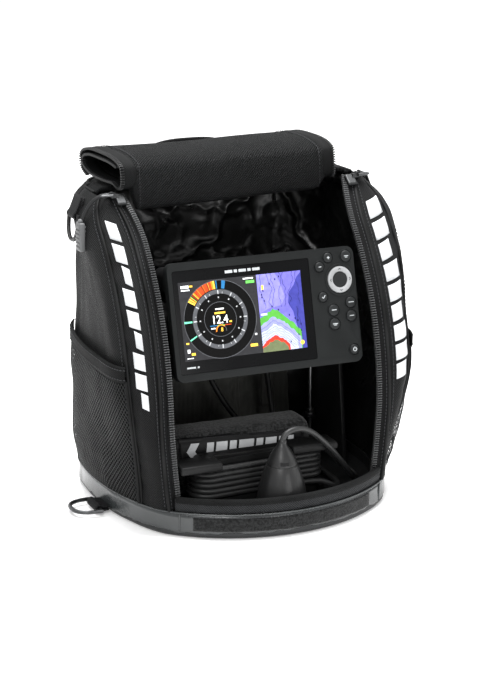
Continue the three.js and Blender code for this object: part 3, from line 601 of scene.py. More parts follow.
def cloth(name, fn, nu, nv, thick, mat, puff, flip=1):
    """A closed sheet of cloth over fn(u, v), moved out by puff(u, v, point) and thick mm thick."""
    grid, low = [], []
    for j in range(nv + 1):
        row = []
        for i in range(nu + 1):
            u, v = i / nu, j / nv
            p = fn(u, v)
            n = normal_at(fn, u, v) * flip
            p = p + n * puff(u, v, p)
            row.append(p)
            low.append(p - n * thick)
        grid.append(row)
    uv = []
    for row in grid:
        run = [0.0]
        for a, b in zip(row, row[1:]):
            run.append(run[-1] + (b - a).length)
        uv += [[(x - run[nu // 2]) * MM, 0.0] for x in run]
    for i in range(nu + 1):
        rise = 0.0
        for j in range(1, nv + 1):
            rise += (grid[j][i] - grid[j - 1][i]).length
            uv[j * (nu + 1) + i][1] = rise * MM
    points = [p for row in grid for p in row]
    return mesh_piece(name, points + low, shell_faces(nu, nv), mat, "case", uvs=uv + uv)


# ------------------------------------------------------------------ cords
CABLE_R = 2.6
COIL_LEFT, COIL_RIGHT = (-56.0, -55.6, 17.8), (42.0, -51.1,
                                               13.3)      # the coil's two ends as x, y and radius
COIL_MID = 2.9          # how far the middle of a turn lies inside the wound part's outline


def pear(inset, steps):
    """One turn round the post, anticlockwise from its right rear, as (x, y) points."""
    (lx, ly, lr), (rx, ry, rr) = COIL_LEFT, COIL_RIGHT
    lr, rr = lr - inset, rr - inset
    lean = math.atan2(ry - ly, rx - lx)
    spread = math.asin((lr - rr) / math.hypot(rx - lx, ry - ly))
    front = -math.pi / 2 + lean + spread
    fine = []
    for k in range(33):
        a = math.pi / 2 + (2 * math.pi + front - math.pi / 2) * k / 32
        fine.append(Vector((lx + lr * math.cos(a), ly + lr * math.sin(a), 0)))
    for k in range(33):
        a = front + (math.pi / 2 - front) * k / 32
        fine.append(Vector((rx + rr * math.cos(a), ry + rr * math.sin(a), 0)))
    start = Vector((rx, ry + rr, 0))
    return even([start] + fine[:-1] + [start], steps, closed=True)


def coil_turns():
    """The cable's way down round the post."""
    steps, turns = TURN_STEPS, 5
    z_top, z_low = 52.0, 24.6
    last = 53                                  # the last turn stops where the front stretch ends
    total = turns * steps + last
    out = []
    for i in range(3, total + 1):
        turn, k = divmod(i, steps)
        sway = 0.9 * noise.noise(Vector((turn * 3.1, k / steps * 4, 0.5)))
        ring = PEARS[min(4, max(0, round(2 + 2.2 * sway)))]
        fall = z_top + (z_low - z_top) * i / total
        sag = 0.7 * noise.noise(Vector((k / steps * 5, turn * 2.3, 7.7)))
        p = ring[k].copy()
        p.z = fall + sag
        out.append(p)
    return out


TURN_STEPS = 72
PEARS = [pear(COIL_MID + shift, TURN_STEPS) for shift in (-0.05, -0.25, -0.45, -0.65, -0.85)]
# Knots of the cables' routes: transducer to coil, coil to head, and head to battery
LEAD = [(0, -91, 72.6), (0.3, -91, 75.2), (2.6, -90.8, 79.2), (6.8, -90.2, 81.8), (13.6, -89, 82.8),
        (23, -86, 80.8), (34, -82, 74.5), (45, -78.5, 65), (57, -74, 53), (68, -68.5, 40.5),
        (77.5, -63, 29.5),
        (85.5, -57, 20.8), (91.5, -50.5, 16.2), (93.8, -43.5, 16.4), (91, -37.6, 19.8), (85, -35.6, 25),
        (78, -36.6, 31), (71, -39.2, 37.6), (65.5, -41.6, 43.2), (60, -43.3, 48.4), (54, -43.2, 51.6),
        (48, -41.9, 52.6)]
TAIL = [(49.5, -64.6, 22.6), (55.8, -66, 20.5), (61, -66, 18), (67.5, -62, 15.6), (71.5, -54, 15.4),
        (72.5, -42, 15.4), (72.5, -20, 15.4), (72, 5, 15.4), (72, 30, 15.4), (72, 52, 15.6), (71, 66, 19),
        (69, 75, 30), (67, 79, 50), (64, 80, 75), (60, 79.5, 100), (55, 77, 122), (49.5, 70, 138),
        (42, 55, 150), (36, 36, 157.5), (31.4, 18, 161.8), (30.2, 9, 163.8), (30, -0.3, 166.1)]
POWER = [(-26, -0.3, 166.1), (-26, 9, 163.8), (-25.2, 18, 161.6), (-23, 36, 155.5), (-19, 54, 145),
         (-13, 68, 130), (-5, 76, 108), (4, 77.5, 84), (14, 75, 64), (26, 71, 46), (40, 65, 31),
         (54, 56.5, 21.5), (64, 45, 19), (67.5, 30, 21), (67.5, 15, 28.5), (63.5, 2, 37), (54.6, -8, 43)]


def cords():
    """The transducer's cable and the power lead, each as one tube from end to end."""
    knots = [Vector(p) for p in LEAD] + coil_turns() + [Vector(p) for p in TAIL]
    line = spline(knots, 1500)
    cable = tube("transducer_cable", line, CABLE_R, CABLE, sides=10)
    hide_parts("cable_lead", "cable_coil", "cable_tail")
    cable.parent = None
    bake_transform(cable)
    line = spline(POWER, 220)
    lead = tube("power_lead", line, CABLE_R, CABLE, sides=10)
    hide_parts("power_cable")
    lead.parent = None
    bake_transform(lead)


cords()


# ------------------------------------------------------------------ case panels
DOME_SPLIT, SEAM_U, REAR_SEAM_U, SEAM_GAP = 60.0, 0.5, 2.5, 0.008
SHEET_BASE = BOOT_TOP + 0.3
DOME_TOP_S = DOME_START + DOME_R * math.radians(DOME_SPLIT)
WALL = 3.5


def sided(fn, side):
    return lambda u, v: mirrored(fn(u, v), side)


def crown(t, soft):
    """0 at both seams and 1 over the middle."""
    return smooth(min(t, 1 - t) / soft)


def pucker(distance, run, seed):
    """Little gathers that die out away from a seam."""
    return 0.45 * math.exp(-distance / 7) * math.sin(run / 3.4 + 3 * noise.noise(Vector((run / 30, seed, 0))))


def border_fn(u, v):
    return case_point(u * (SEAM_U - SEAM_GAP), lerp(SHEET_BASE, DOME_TOP_S, v))


SHOULDER_OUT, SHOULDER_IN = 8.5, 2.4


def shoulder(at, p):
    """How far the filled case leaves its plain outline: out at the right front, in at the left rear."""
    if p.x > 0:
        round_corner = math.exp(-((at - 0.85) / 0.55) ** 2) * smooth((at - 0.1) / 0.5)
        return SHOULDER_OUT * round_corner * smooth((p.z - 165) / 55) * smooth((276 - p.z) / 30)
    inward = SHOULDER_IN * smooth((p.z - 130) / 40) + SHOULDER_IN * smooth((p.z - 205) / 35)
    return -inward * smooth((at - 1.72) / 0.3) * smooth((3.3 - at) / 0.6) * smooth((272 - p.z) / 26)


def border_puff(u, v, p):
    swell = 1.5 * crown(u, 0.45) - 0.4 + 0.5 * ripple(p, 40, 3) * crown(u, 0.3)
    return swell + pucker(22 * (1 - u), p.z, 1) + shoulder(u * SEAM_U, p)


def side_fn(u, v):
    return case_point(lerp(SEAM_U + SEAM_GAP, REAR_SEAM_U, u), lerp(SHEET_BASE, DOME_TOP_S, v))


POCKET_TOP, POCKET_REAR = 138.0, 2.4


def side_puff(u, v, p):
    at = lerp(SEAM_U + SEAM_GAP, REAR_SEAM_U, u)
    free = smooth((p.z - 128) / 40)
    folds = ripple((at * 90, p.z * 0.33, 0), 30, 5, 2)
    broad = ripple((at * 60, p.z, 4), 75, 9, 2)
    slant = math.exp(-((at - 0.98 - 0.0032 * (268 - p.z)) / 0.16) ** 2) * smooth((p.z - 185) / 50)
    dent = -4.2 * math.exp(-((at - 1.55) / 0.4) ** 2 - ((p.z - 212) / 42) ** 2)
    lift = 1.9 * crown(u, 0.2) * crown(v, 0.1) - 0.5
    return lift * (0.25 + 0.75 * free) + free * (1.5 * folds + 1.5 * broad + 1.8 * slant + dent) \
        + pucker(110 * u, p.z, 2) * (0.5 + 0.5 * free) + shoulder(at, p)


def back_fn(u, v):
    return round_case((2 * u - 1) * (1 - (REAR_SEAM_U + SEAM_GAP) / 4), lerp(SHEET_BASE, DOME_TOP_S, v))


def back_puff(u, v, p):
    at = 4 - abs(2 * u - 1) * (4 - REAR_SEAM_U - SEAM_GAP)
    swell = 1.6 * crown(u, 0.25) * crown(v, 0.15) - 0.4
    return swell + 1.1 * ripple(p, 70, 12) * crown(u, 0.2) * crown(v, 0.1) + shoulder(at, p)


TOP_END, TOP_RIM = 1 - 0.75 / 4, 0.4         # how far the top runs round, and its rounded share


def top_fn(u, v):
    w, rim = (2 * u - 1) * TOP_END, TOP_RIM
    if v < rim:
        return round_case(w, DOME_START + DOME_R * math.radians(lerp(DOME_SPLIT + 6, 90, v / rim)))
    edge = round_case(w, DOME_START + DOME_R * math.pi / 2)
    t = (v - rim) / (1 - rim)
    return edge.lerp(Vector((edge.x * 0.02, 66, edge.z)), t)


def top_puff(u, v, p):
    return smooth(v / 0.3) - 0.3 + 0.8 * ripple(p, 60, 21) * smooth(v / 0.3)


def line_tube(name, fn, count, radius, mat):
    """A welt or a cord along fn(t)."""
    return tube(name, [fn(i / (count - 1)) for i in range(count)], radius, mat, sides=8)


# Stitches as (pitch, length, radius)
SEAM_STITCH, EDGE_STITCH, CLOSE_STITCH = (3.4, 2.3, 0.4), (3.2, 2.2, 0.35), (2.0, 1.5, 0.35)


def dashes(name, line, stitch):
    """A row of short stitches along a line of points."""
    pitch, long, radius = stitch
    total = length_of(line)
    points, faces = [], []
    for p, t in stations(line, max(2, int(total / pitch))):
        side = t.orthogonal().normalized()
        up = t.cross(side)
        start = len(points)
        for end, r in ((-0.5, 0.45), (-0.3, 1), (0.3, 1), (0.5, 0.45)):
            for k in range(5):
                a = 2 * math.pi * k / 5
                points.append(p + t * (long * end) + (side * math.cos(a) + up * math.sin(a)) * radius * r)
        faces += loft_faces(4, 5, start)
    return mesh_piece(name, points, faces, STITCH, "case")


def stations(line, count):
    """(point, tangent) at even steps."""
    even_line = even(line, count)
    out = []
    for i, p in enumerate(even_line):
        a, b = even_line[max(0, i - 1)], even_line[min(count - 1, i + 1)]
        out.append((p, (b - a).normalized()))
    return out


def above(fn, u, v, lift, side):
    """A point lift millimetres over one of the case's two front panels on the given side."""
    p = fn(u, v)
    at = u * SEAM_U if fn is border_fn else lerp(SEAM_U + SEAM_GAP, REAR_SEAM_U, u)
    return mirrored(p + normal_at(fn, u, v) * (lift + shoulder(at, mirrored(p, side))), side)


def shade_behind_pocket(panel):
    """Painted shade: darker cloth where the net covers the side, standing in for the shadow behind the net.
    """
    panel.data.materials.append(POCKET_SHADE)
    low, high = P(0, -78, 0).y, P(0, 100, POCKET_TOP + 4)
    for face in panel.data.polygons:
        middle = face.center
        if middle.z < high.z and low < middle.y < high.y:
            face.material_index = 1


def case_panels():
    """Borders, sides, back and top with their seams."""
    for side, name in BOTH_SIDES:
        panel = cloth(f"border_{name}", sided(border_fn, side), 10, 60 * FINE, WALL, BORDER, border_puff)
        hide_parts(f"front_border_{name}")
        panel = cloth(f"side_{name}", sided(side_fn, side), 50 * FINE, 56 * FINE, WALL, TWILL, side_puff)
        shade_behind_pocket(panel)
        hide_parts(f"side_panel_{name}")
        seam = lambda t, s=side: above(side_fn, 0, t, 0.1, s)
        line_tube(f"seam_welt_{name}", seam, 90, 1.25, BORDER)
        run = [above(side_fn, 0.035, 0.02 + 0.96 * i / 160, 1.0, side) for i in range(161)]
        dashes(f"side_stitches_{name}", run, SEAM_STITCH)
        run = [above(border_fn, 0.14, 0.02 + 0.96 * i / 160, 0.9, side) for i in range(161)]
        dashes(f"border_stitches_{name}", run, SEAM_STITCH)
        rear = lambda t, s=side: above(side_fn, 1, t, 0.2, s)
        line_tube(f"rear_welt_{name}", rear, 80, 1.3, BORDER)
    panel = cloth("back", back_fn, 60 * FINE, 50 * FINE, WALL, TWILL, back_puff)
    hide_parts("back_panel")
    panel = cloth("top", top_fn, 60 * FINE, 16 * FINE, WALL, TWILL, top_puff)
    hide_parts("top_panel")
    ring = lambda t: round_case((2 * t - 1) * TOP_END, DOME_TOP_S + 1.2) + Vector((0, 0, 0.8))
    line_tube("top_welt", ring, 160, 1.3, BORDER)


case_panels()


# ------------------------------------------------------------------ rolled front flap
ROLL_X, ROLL_PLACE, ROLL_TURN = 106.0, Vector((-7, 53, 299.4)), math.radians(4.5)
ROLL_DEPTH, ROLL_HEIGHT, ROLL_SAG = 47.0, 15.8, 30.0
ROLL_BAND, ROLL_EDGE = 96.0, 104.5       # where the twill ends and where its zipper tape ends


def roll_place(p):
    c, s = math.cos(ROLL_TURN), math.sin(ROLL_TURN)
    return Vector((p.x * c - p.y * s, p.x * s + p.y * c, p.z)) + ROLL_PLACE


def power(value, exponent):
    return math.copysign(abs(value) ** exponent, value)


def roll_point(x, angle, inset):
    """Section of the roll: angle 0 is its rear, a quarter turn its top, a half turn its front."""
    c, s = math.cos(angle), math.sin(angle)
    end = abs(x) / ROLL_X
    y = (ROLL_DEPTH - inset) * power(c, 0.8)
    z = (ROLL_HEIGHT - inset) * power(s, 0.8)
    middle = smooth((x + 99) / 9) * smooth((108 - x) / 24) ** 0.8 * lerp(1.0, 0.9, clamp01((x + 100) / 200))
    front = smooth((-c - 0.45) / 0.45)
    under = smooth((0.4 - s) / 0.6)
    z -= (ROLL_SAG - inset) * middle * front * under
    z += (1.6 * noise.noise(Vector((x / 60, 3.1, 0))) - 1.5 * (1 - end) * smooth(s)) * (1 - inset / 12)
    y += 1.4 * noise.noise(Vector((x / 45, angle * 1.3, 5))) * smooth(-c)
    return roll_place(Vector((x, y, z)))


ROLL_TURNS, ROLL_LAYER, ROLL_START = 1.6, 4.6, math.radians(-62)


def roll_fn(u, v):
    """The flap's cloth: u runs along the roll, v from its outer hem inwards."""
    angle = ROLL_START + v * ROLL_TURNS * 2 * math.pi
    inset = 0.2 + ROLL_LAYER * (v * ROLL_TURNS) + 0.6 * smooth((v * ROLL_TURNS - 0.9) * 3)
    return roll_point(lerp(-ROLL_BAND, ROLL_BAND, u), angle, inset)


def flap():
    """The rolled cloth, with gathers at its ends and a crease along its front."""
    nu, nv = ((110, 260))

    def puff(u, v, p):
        near_hem = math.exp(-min(u, 1 - u) * 220 / 6)
        gathers = 0.9 * math.sin(v * 240 + 4 * noise.noise(Vector((v * 9, u * 3, 1)))) * near_hem
        crease = -1.3 * math.exp(-((v * ROLL_TURNS - 0.58) / 0.014) ** 2)
        return crease + 0.5 * gathers + 0.8 * ripple((u * 220, v * 250, 0), 46, 31)
    return cloth("rolled_flap", roll_fn, nu, nv, 2.6, ROLL_TWILL, puff, flip=0)


def ribbon(name, rows, thick, mat, body="case"):
    """A closed band from rows of points: rows[i] runs across the band."""
    nu, nv = len(rows[0]) - 1, len(rows) - 1
    normals = []
    for j in range(nv + 1):
        line = []
        for i in range(nu + 1):
            du = rows[j][min(nu, i + 1)] - rows[j][max(0, i - 1)]
            dv = rows[min(nv, j + 1)][i] - rows[max(0, j - 1)][i]
            n = du.cross(dv)
            line.append(n.normalized() if n.length > 1e-9 else Vector((0, 0, 1)))
        normals.append(line)
    points = [p + normals[j][i] * (way * thick / 2)
              for way in (1, -1) for j, row in enumerate(rows) for i, p in enumerate(row)]
    run, uv = 0.0, []
    for j, row in enumerate(rows):
        run += (row[0] - rows[j - 1][0]).length if j else 0
        across = 0.0
        for i, p in enumerate(row):
            across += (p - row[i - 1]).length if i else 0
            uv.append((across * MM, run * MM))
    return mesh_piece(name, points, shell_faces(nu, nv), mat, body, uvs=uv + uv)


TEETH_PITCH = 2.15


def teeth_row(name, line, across, out, size, mat):
    """Moulded teeth along a line. across points to the mating side, out(t) away from the tape."""
    wide, deep, long = size
    count = int(length_of(line) / TEETH_PITCH)
    points, faces = [], []
    for k, (p, t) in enumerate(stations(line, count)):
        a = (across - t * across.dot(t)).normalized()
        o = t.cross(a).normalized()
        if o.dot(out(k / (count - 1))) < 0:
            o = -o
        start = len(points)
        for x0, half_l in ((-0.5, 0.5), (-0.15, 0.36), (0.28, 0.36), (0.5, 0.52)):
            for oy, lz in ((-0.5, -1), (-0.5, 1), (0.28, 1), (0.5, 0.55), (0.5, -0.55), (0.28, -1)):
                points.append(p + a * (x0 * wide) + o * (oy * deep) + t * (lz * half_l * long))
        faces += loft_faces(4, 6, start)
    mesh_piece(name, points, faces, mat, "case", smooth=False)


def roll_heart(side):
    """The middle of the roll's end."""
    return roll_place(Vector((side * ROLL_X, 0, -6)))


def flap_edges():
    """Zipper tape and teeth on the flap's two side edges, which show as the roll's spiral ends."""
    for side, name in ((-1, "left"), (1, "right")):
        along = Vector((math.cos(ROLL_TURN), math.sin(ROLL_TURN), 0)) * side
        heart = roll_heart(side)
        rows = []
        for k in range(150):
            p = roll_fn(max(0.0, side), 0.02 + 0.96 * k / 149)
            inward = (heart - p).normalized()
            base = p + inward * 1.1
            rows.append([base - along * 5, base - inward * 1.0, base + along * 1.2 - inward * 0.8,
                         base + along * 4.5 - inward * 0.5, base + along * (ROLL_EDGE - ROLL_BAND)])
        ribbon(f"flap_tape_{name}", rows, 1.3, BINDING)
        line = [row[-1] for row in rows]
        teeth_row(f"flap_teeth_{name}", line, along, lambda t: line[int(t * (len(line) - 1))] - heart,
                  (3.0, 2.2, 1.25), FLAP_TEETH)


def roll():
    made = flap()
    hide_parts("front_flap")
    flap_edges()
    hem = [roll_fn(u / 60, 0.012) for u in range(61)]
    tube("flap_hem_cord", hem, 1.5, BORDER)
    for u, name in ((0.035, "near"), (0.965, "far")):
        run = []
        for k in range(120):
            p = roll_fn(u, 0.03 + 0.6 * k / 119)
            run.append(p + (p - roll_heart(u * 2 - 1)).normalized() * 0.8)
        dashes(f"flap_stitches_{name}", run, SEAM_STITCH)


roll()


# ------------------------------------------------------------------ zippers
def zipper_frame(z):
    slope = zipper_y(z + 0.5) - zipper_y(z - 0.5)
    return Vector((0, -1, slope)).normalized()


def zipper_spot(z, dx, depth):
    return Vector((zipper_x(z) + dx, zipper_y(z), z)) + zipper_frame(z) * depth


def zipper():
    for side, name in BOTH_SIDES:
        heights = [SHEET_BASE + (ZIP_TOP - SHEET_BASE) * k / 120 for k in range(121)]
        run = lambda dx, depth: [mirrored(zipper_spot(z, dx, depth), side) for z in heights]
        height = lambda t: lerp(SHEET_BASE, ZIP_TOP, t)
        cord = lambda dx, depth: lambda t: mirrored(zipper_spot(height(t), dx, depth), side)
        section = ((4.6, 0.6), (1.4, -0.3), (-1.2, -0.9), (-4.2, -1.1), (-5.4, -1.2))
        rows = list(zip(*(run(*spot) for spot in section)))
        tape = ribbon(f"zipper_tape_{name}", rows, 0.9, TAPE)
        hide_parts(f"zipper_chain_{name}")
        teeth_row(f"zipper_teeth_{name}", run(-5.2, -0.7), Vector((-side, 0, 0)),
                  lambda t: zipper_frame(height(t)), (4.4, 2.9, 1.3), TEETH)
        line_tube(f"zipper_cord_{name}", cord(-2.1, -0.3), 120, 0.75, TAPE)
        dashes(f"zipper_stitches_{name}", run(1.6, 0.35), EDGE_STITCH)
        line_tube(f"border_fold_{name}", cord(4.3, 0.2), 120, 1.6, BORDER)


zipper()


# ------------------------------------------------------------------ mesh pockets
POCKET_FRONT, NET_SHARE = 0.53, 0.45     # share of the net that is thread
RING_AT = 1.62                           # where the right lower ring hangs, as the u of case_point
# How far each pocket stands out from the case, in millimetres at these shares of its height
POCKET_HEIGHTS = (0, 0.12, 0.3, 0.48, 0.6, 0.85, 1)
POCKET_LEFT, POCKET_RIGHT = (0.8, 5.5, 8, 6.5, 6, 6, 3.4), (8, 17.5, 17.5, 12, 6.5, 2.5, 1)


def pocket_point(u, v, extra, side):
    """A point of a pocket, drawn on the right side. The left pocket hangs flatter than the right."""
    s = SHEET_BASE + 1 + (POCKET_TOP - SHEET_BASE - 1) * v
    at = lerp(POCKET_FRONT, POCKET_REAR, u)
    p = case_point(at, s)
    ahead = case_point(at + 0.01, s) - case_point(at - 0.01, s)
    out = Vector((ahead.y, -ahead.x, 0)).normalized()
    t = clamp01((at - POCKET_FRONT) / ((POCKET_REAR if side > 0 else 2.12) - POCKET_FRONT))
    reach = float(np.interp(v, POCKET_HEIGHTS, POCKET_RIGHT if side > 0 else POCKET_LEFT))
    if side > 0:                              # flatter where the lower ring swings up
        reach *= 1 - 0.88 * math.exp(-((at - RING_AT) / 0.38) ** 2) * smooth((0.36 - v) / 0.2)
    bulge = reach * max(0.0, math.sin(math.pi * t)) ** 0.4
    return p + out * (1.6 + bulge + extra)


def net(name, fn, nu, nv, hole):
    """Open mesh: staggered lozenge holes in a thin sheet."""
    points, faces = [], []
    at = {}

    def corner(i, j):
        if (i, j) not in at:
            at[i, j] = len(points)
            points.append(fn(clamp01(i / (2 * nu)), clamp01(j / (2 * nv))))
        return at[i, j]
    for j in range(0, 2 * nv + 1):
        for i in range(0, 2 * nu + 1):
            if (i + j) % 2 == 0 or not (0 < i < 2 * nu and 0 < j < 2 * nv):
                continue
            ring = [corner(i - 1, j), corner(i, j - 1), corner(i + 1, j), corner(i, j + 1)]
            middle = sum((points[k] for k in ring), Vector()) / 4
            inner = []
            for a, b in zip(ring, ring[1:] + ring[:1]):
                inner.append(len(points))
                points.append(middle.lerp(points[a], hole))
                inner.append(len(points))
                points.append(middle.lerp((points[a] + points[b]) / 2, hole * 1.12))
            for k in range(4):
                a, b = ring[k], ring[(k + 1) % 4]
                i0, i1, i2 = inner[2 * k], inner[2 * k + 1], inner[(2 * k + 2) % 8]
                faces += [(a, i1, i0), (a, b, i1), (b, i2, i1)]
    obj = mesh_piece(name, points, faces, NET, "case")
    thicken(obj, 0.45)
    return obj


def pockets():
    """The nets with their bound upper edge and their seams."""
    for side, name in BOTH_SIDES:
        def spot(u, v):
            slack = smooth(v / 0.25) * smooth(u / 0.1) * smooth((1 - u) / 0.1)
            sag = 2.2 * ripple((u * 150, v * 110, 8 * side), 42, 41, 2) * slack
            return mirrored(pocket_point(u, v, sag, side), side)
        cells = ((44, 24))
        made = net(f"pocket_net_{name}", spot, *cells, 0.8)
        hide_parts(f"mesh_pocket_{name}")
        rows = []
        for k in range(121):
            u = k / 120
            row = []
            for h, puff in ((-0.5, 0.1), (0.6, 1.1), (3.5, 1.5), (9, 1.5), (12, 1.1), (13, 0.2)):
                p = pocket_point(u, 1, puff, side)
                wave = 0.5 * noise.noise(Vector((u * 9, 2, side)))
                row.append(Vector((side * p.x, p.y, POCKET_TOP + h + wave)))
            rows.append(row)
        band = ribbon(f"pocket_edge_{name}", rows, 1.5, BINDING)
        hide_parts(f"pocket_binding_{name}")
        for h in (2.0, 10.5):
            run = []
            for k in range(161):
                p = pocket_point(k / 160, 1, 2.4, side)
                run.append(Vector((side * p.x, p.y, POCKET_TOP + h)))
            dashes(f"pocket_stitches_{name}_{int(h)}", run, EDGE_STITCH)
        for u, end in ((0.0, "front"), (1.0, "rear")):
            run = lambda t: mirrored(pocket_point(u, t, 0.2, side), side)
            line_tube(f"pocket_{end}_seam_{name}", run, 60, 1.4, BORDER)


pockets()


# ------------------------------------------------------------------ boot, base cloth and front lip
ARC_END = case_point(0, BOOT_TOP)
ARC_R = (ARC_END.x ** 2 + (ARC_END.y - FRONT_ARC_Y) ** 2) / (2 * (ARC_END.y - FRONT_ARC_Y))


def front_arc(x):
    return FRONT_ARC_Y + ARC_R - math.sqrt(ARC_R ** 2 - x * x)


def spread(half, steps):
    """Even steps from -half to half."""
    return [lerp(-half, half, k / steps) for k in range(steps + 1)]


def base_outline(count):
    """Plan of the base, anticlockwise from the right zipper, with the outward direction at each point."""
    right = [case_point(k / 20, BOOT_TOP) for k in range(80)]
    left = [mirrored(case_point(4 - k / 20, BOOT_TOP), -1) for k in range(80)]
    arc = [Vector((x, front_arc(x), BOOT_TOP)) for x in spread(ARC_END.x, 40)]
    line = even(right + left + arc, count, closed=True)
    outs = []
    for i in range(count):
        t = line[(i + 1) % count] - line[i - 1]
        outs.append(Vector((t.y, -t.x, 0)).normalized())
    return line, outs


def around(name, count, profile, mat):
    """A closed band round the base. profile(p) gives its closed section as (inset, z) pairs."""
    rings = [[Vector((p.x, p.y, 0)) - o * inset + Vector((0, 0, z)) for inset, z in profile(p)]
             for p, o in zip(*base_outline(count))]
    faces = loft_faces(count, len(rings[0]), closed=True, caps=False)
    return mesh_piece(name, [p for ring in rings for p in ring], faces, mat, "case")


def low_edge(p):
    wave = noise.noise(Vector((p.x / 21, p.y / 21, 3))) + 0.5 * noise.noise(Vector((p.x / 7, p.y / 7, 8)))
    return 4.6 + 2.3 * wave + (1.2 if p.y < -60 else 0.0)


def boot():
    """The coated band, the base's edge and board, piping and stitching."""
    count = 420

    def band(p):
        low = low_edge(p)
        soft = 0.5 * noise.noise(Vector((p.x / 30, p.y / 30, 1)))
        return ((0.5, 22.1), (-0.5, 21.5), (-0.7 - soft, 17), (-0.9 - soft, 12), (-0.9, low + 2.5),
                (-1.0, low + 0.8), (-0.4, low), (0.7, low + 0.4), (0.9, 12), (1.4, 21.6))
    around("boot_band", count, band, COATED)

    def skin(p):
        ease = 0.7 * noise.noise(Vector((p.x / 17, p.y / 17, 6)))
        return ((6, 0.5), (3.4, 0.1 + 0.1 * ease), (1.6 + ease * 0.4, 0.9), (0.2, 2.6 + ease), (0.1, 5),
                (1.2, 12), (3.6, 12), (4.2, 3.6))
    around("base_edge", count, skin, BOTTOM)
    n = 96
    rings = [[Vector((p.x, p.y, 0)) - o * 4 for p, o in zip(*base_outline(n))]]
    middle = Vector((0, 5, 0))
    for shrink in (0.8, 0.6, 0.4, 0.2):
        rings.append([middle.lerp(p, shrink) for p in rings[0]])
    points = [Vector((p.x, p.y, 0.55 + 0.35 * noise.noise(p / 30))) for ring in rings for p in ring]
    top = [Vector((p.x, p.y, 3.3)) for ring in rings for p in ring]
    half = len(points)
    points += top + [Vector((0, 5, 0.6)), Vector((0, 5, 3.3))]
    faces = []
    for side in (0, half):
        faces += loft_faces(len(rings), n, side, caps=False)
        last = side + (len(rings) - 1) * n
        faces += [(last + k, last + (k + 1) % n, 2 * half + (1 if side else 0)) for k in range(n)]
    faces += [(k, (k + 1) % n, half + (k + 1) % n, half + k) for k in range(n)]
    sole = mesh_piece("base_board", points, faces, BOTTOM, "case")
    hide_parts("bottom_boot")

    around("boot_piping", count, lambda p: [(-0.55 + 0.85 * math.cos(a), 22.2 + 0.85 * math.sin(a))
                                            for a in (math.pi * k / 3 for k in range(6))], COATED)
    run = [Vector((x, front_arc(x) - 1.3, 19.9)) for x in spread(92, 160)]
    dashes("boot_stitches_front", run, (3.0, 2.0, 0.35))
    for x in (-95.5, 96):
        seam = [Vector((x + 0.03 * (z - 12), front_arc(x) - 1.25, z)) for z in (5.5, 8, 12, 16, 20, 22)]
        tube(f"boot_seam_{'left' if x < 0 else 'right'}", seam, 0.75, COATED, sides=8)


PATCH_X = (-86, 80)


def loop_patch():
    def patch(u, v):
        x = lerp(*PATCH_X, u)
        edge = 0.4 * noise.noise(Vector((u * 14, v, 2)))
        return Vector((x, front_arc(x) - 1.2, lerp(7.2 + edge, 19.2 + edge * 0.3, v)))
    made = cloth("loop_patch", patch, 120, 10, 1.3, LOOP,
                 lambda u, v, p: 0.9 * crown(u, 0.01) * crown(v, 0.08) + 0.2 * ripple(p, 9, 17, 2))


LIP_HALF = 97.5


def front_lip():
    def lip(u, v):
        x = lerp(-LIP_HALF, LIP_HALF, u)
        return Vector((x, front_arc(x) + 0.6 * v + 1.0, lerp(22.6, 34.4, v)))
    made = cloth("front_lip_cloth", lip, 120, 8, 3.0, LIP_TWILL,
                 lambda u, v, p: 0.9 * crown(v, 0.4) + 0.25 * ripple(p, 18, 19, 2))
    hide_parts("front_lip")
    section = ((-2.3, -3.6), (-2.5, -1.6), (-1.7, 0.3), (0, 0.9), (1.7, 0.3), (2.4, -1.6), (2.2, -3.6))
    edge = [Vector((x, front_arc(x) + 2.2, 34.6)) for x in spread(LIP_HALF, 140)]
    rows = [[p + Vector((0, y, z)) for y, z in section] for p in edge]
    ribbon("lip_binding", rows, 0.9, BINDING)


boot()
loop_patch()
front_lip()


# ------------------------------------------------------------------ handle, tabs, rings and pulls
HANDLE_Y, HANDLE_FOOT, HANDLE_HALF, HANDLE_RISE, HANDLE_W = 119.6, 250.0, 58.0, 55.0, 15.0


def handle_edge(angle, grow):
    c, s = math.cos(angle), math.sin(angle)
    return ((HANDLE_HALF + grow) * power(c, 0.7), HANDLE_FOOT + (HANDLE_RISE + grow) * max(0.0, s) ** 0.6)


def handle():
    """A strap with a wrapped grip; its ends are sewn to the back."""
    def row(angle, drop=0.0, y=HANDLE_Y):
        across = (handle_edge(angle, -HANDLE_W * k / 6) for k in range(7))
        return [Vector((x, y, z - drop)) for x, z in across]
    rows = [row(0, k * 2.2, HANDLE_Y - 0.2) for k in range(12, 0, -1)]
    rows += [row(math.pi * k / 90) for k in range(91)]
    rows += [row(math.pi, k * 2.2, HANDLE_Y - 0.2) for k in range(1, 13)]
    strap = ribbon("handle_strap", rows, 2.6, WEBBING)
    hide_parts("carry_handle")
    strap.parent = None
    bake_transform(strap)
    grip = []
    for k in range(31):
        angle = math.pi * lerp(0.3, 0.7, k / 30)
        grip.append([Vector((x, HANDLE_Y, z)) for x, z in
                     (handle_edge(angle, 0.6 - (HANDLE_W + 1.2) * i / 8) for i in range(9))])
    ribbon("handle_grip", grip, 3.8, BINDING, "carry_handle")
    for name, x0, x1 in (("left", -56.5, -44.5), ("right", 44.5, 56.5)):
        z0, z1 = 225.5, 240.5
        box = [(x0, z0), (x1, z0), (x1, z1), (x0, z1), (x0, z0), (x1, z1)]
        for kind, corners in (("stitches", box), ("cross", [(x1, z0), (x0, z1)])):
            run = [Vector((x, HANDLE_Y + 1.2, z)) for x, z in corners]
            dashes(f"handle_{kind}_{name}", run, CLOSE_STITCH)


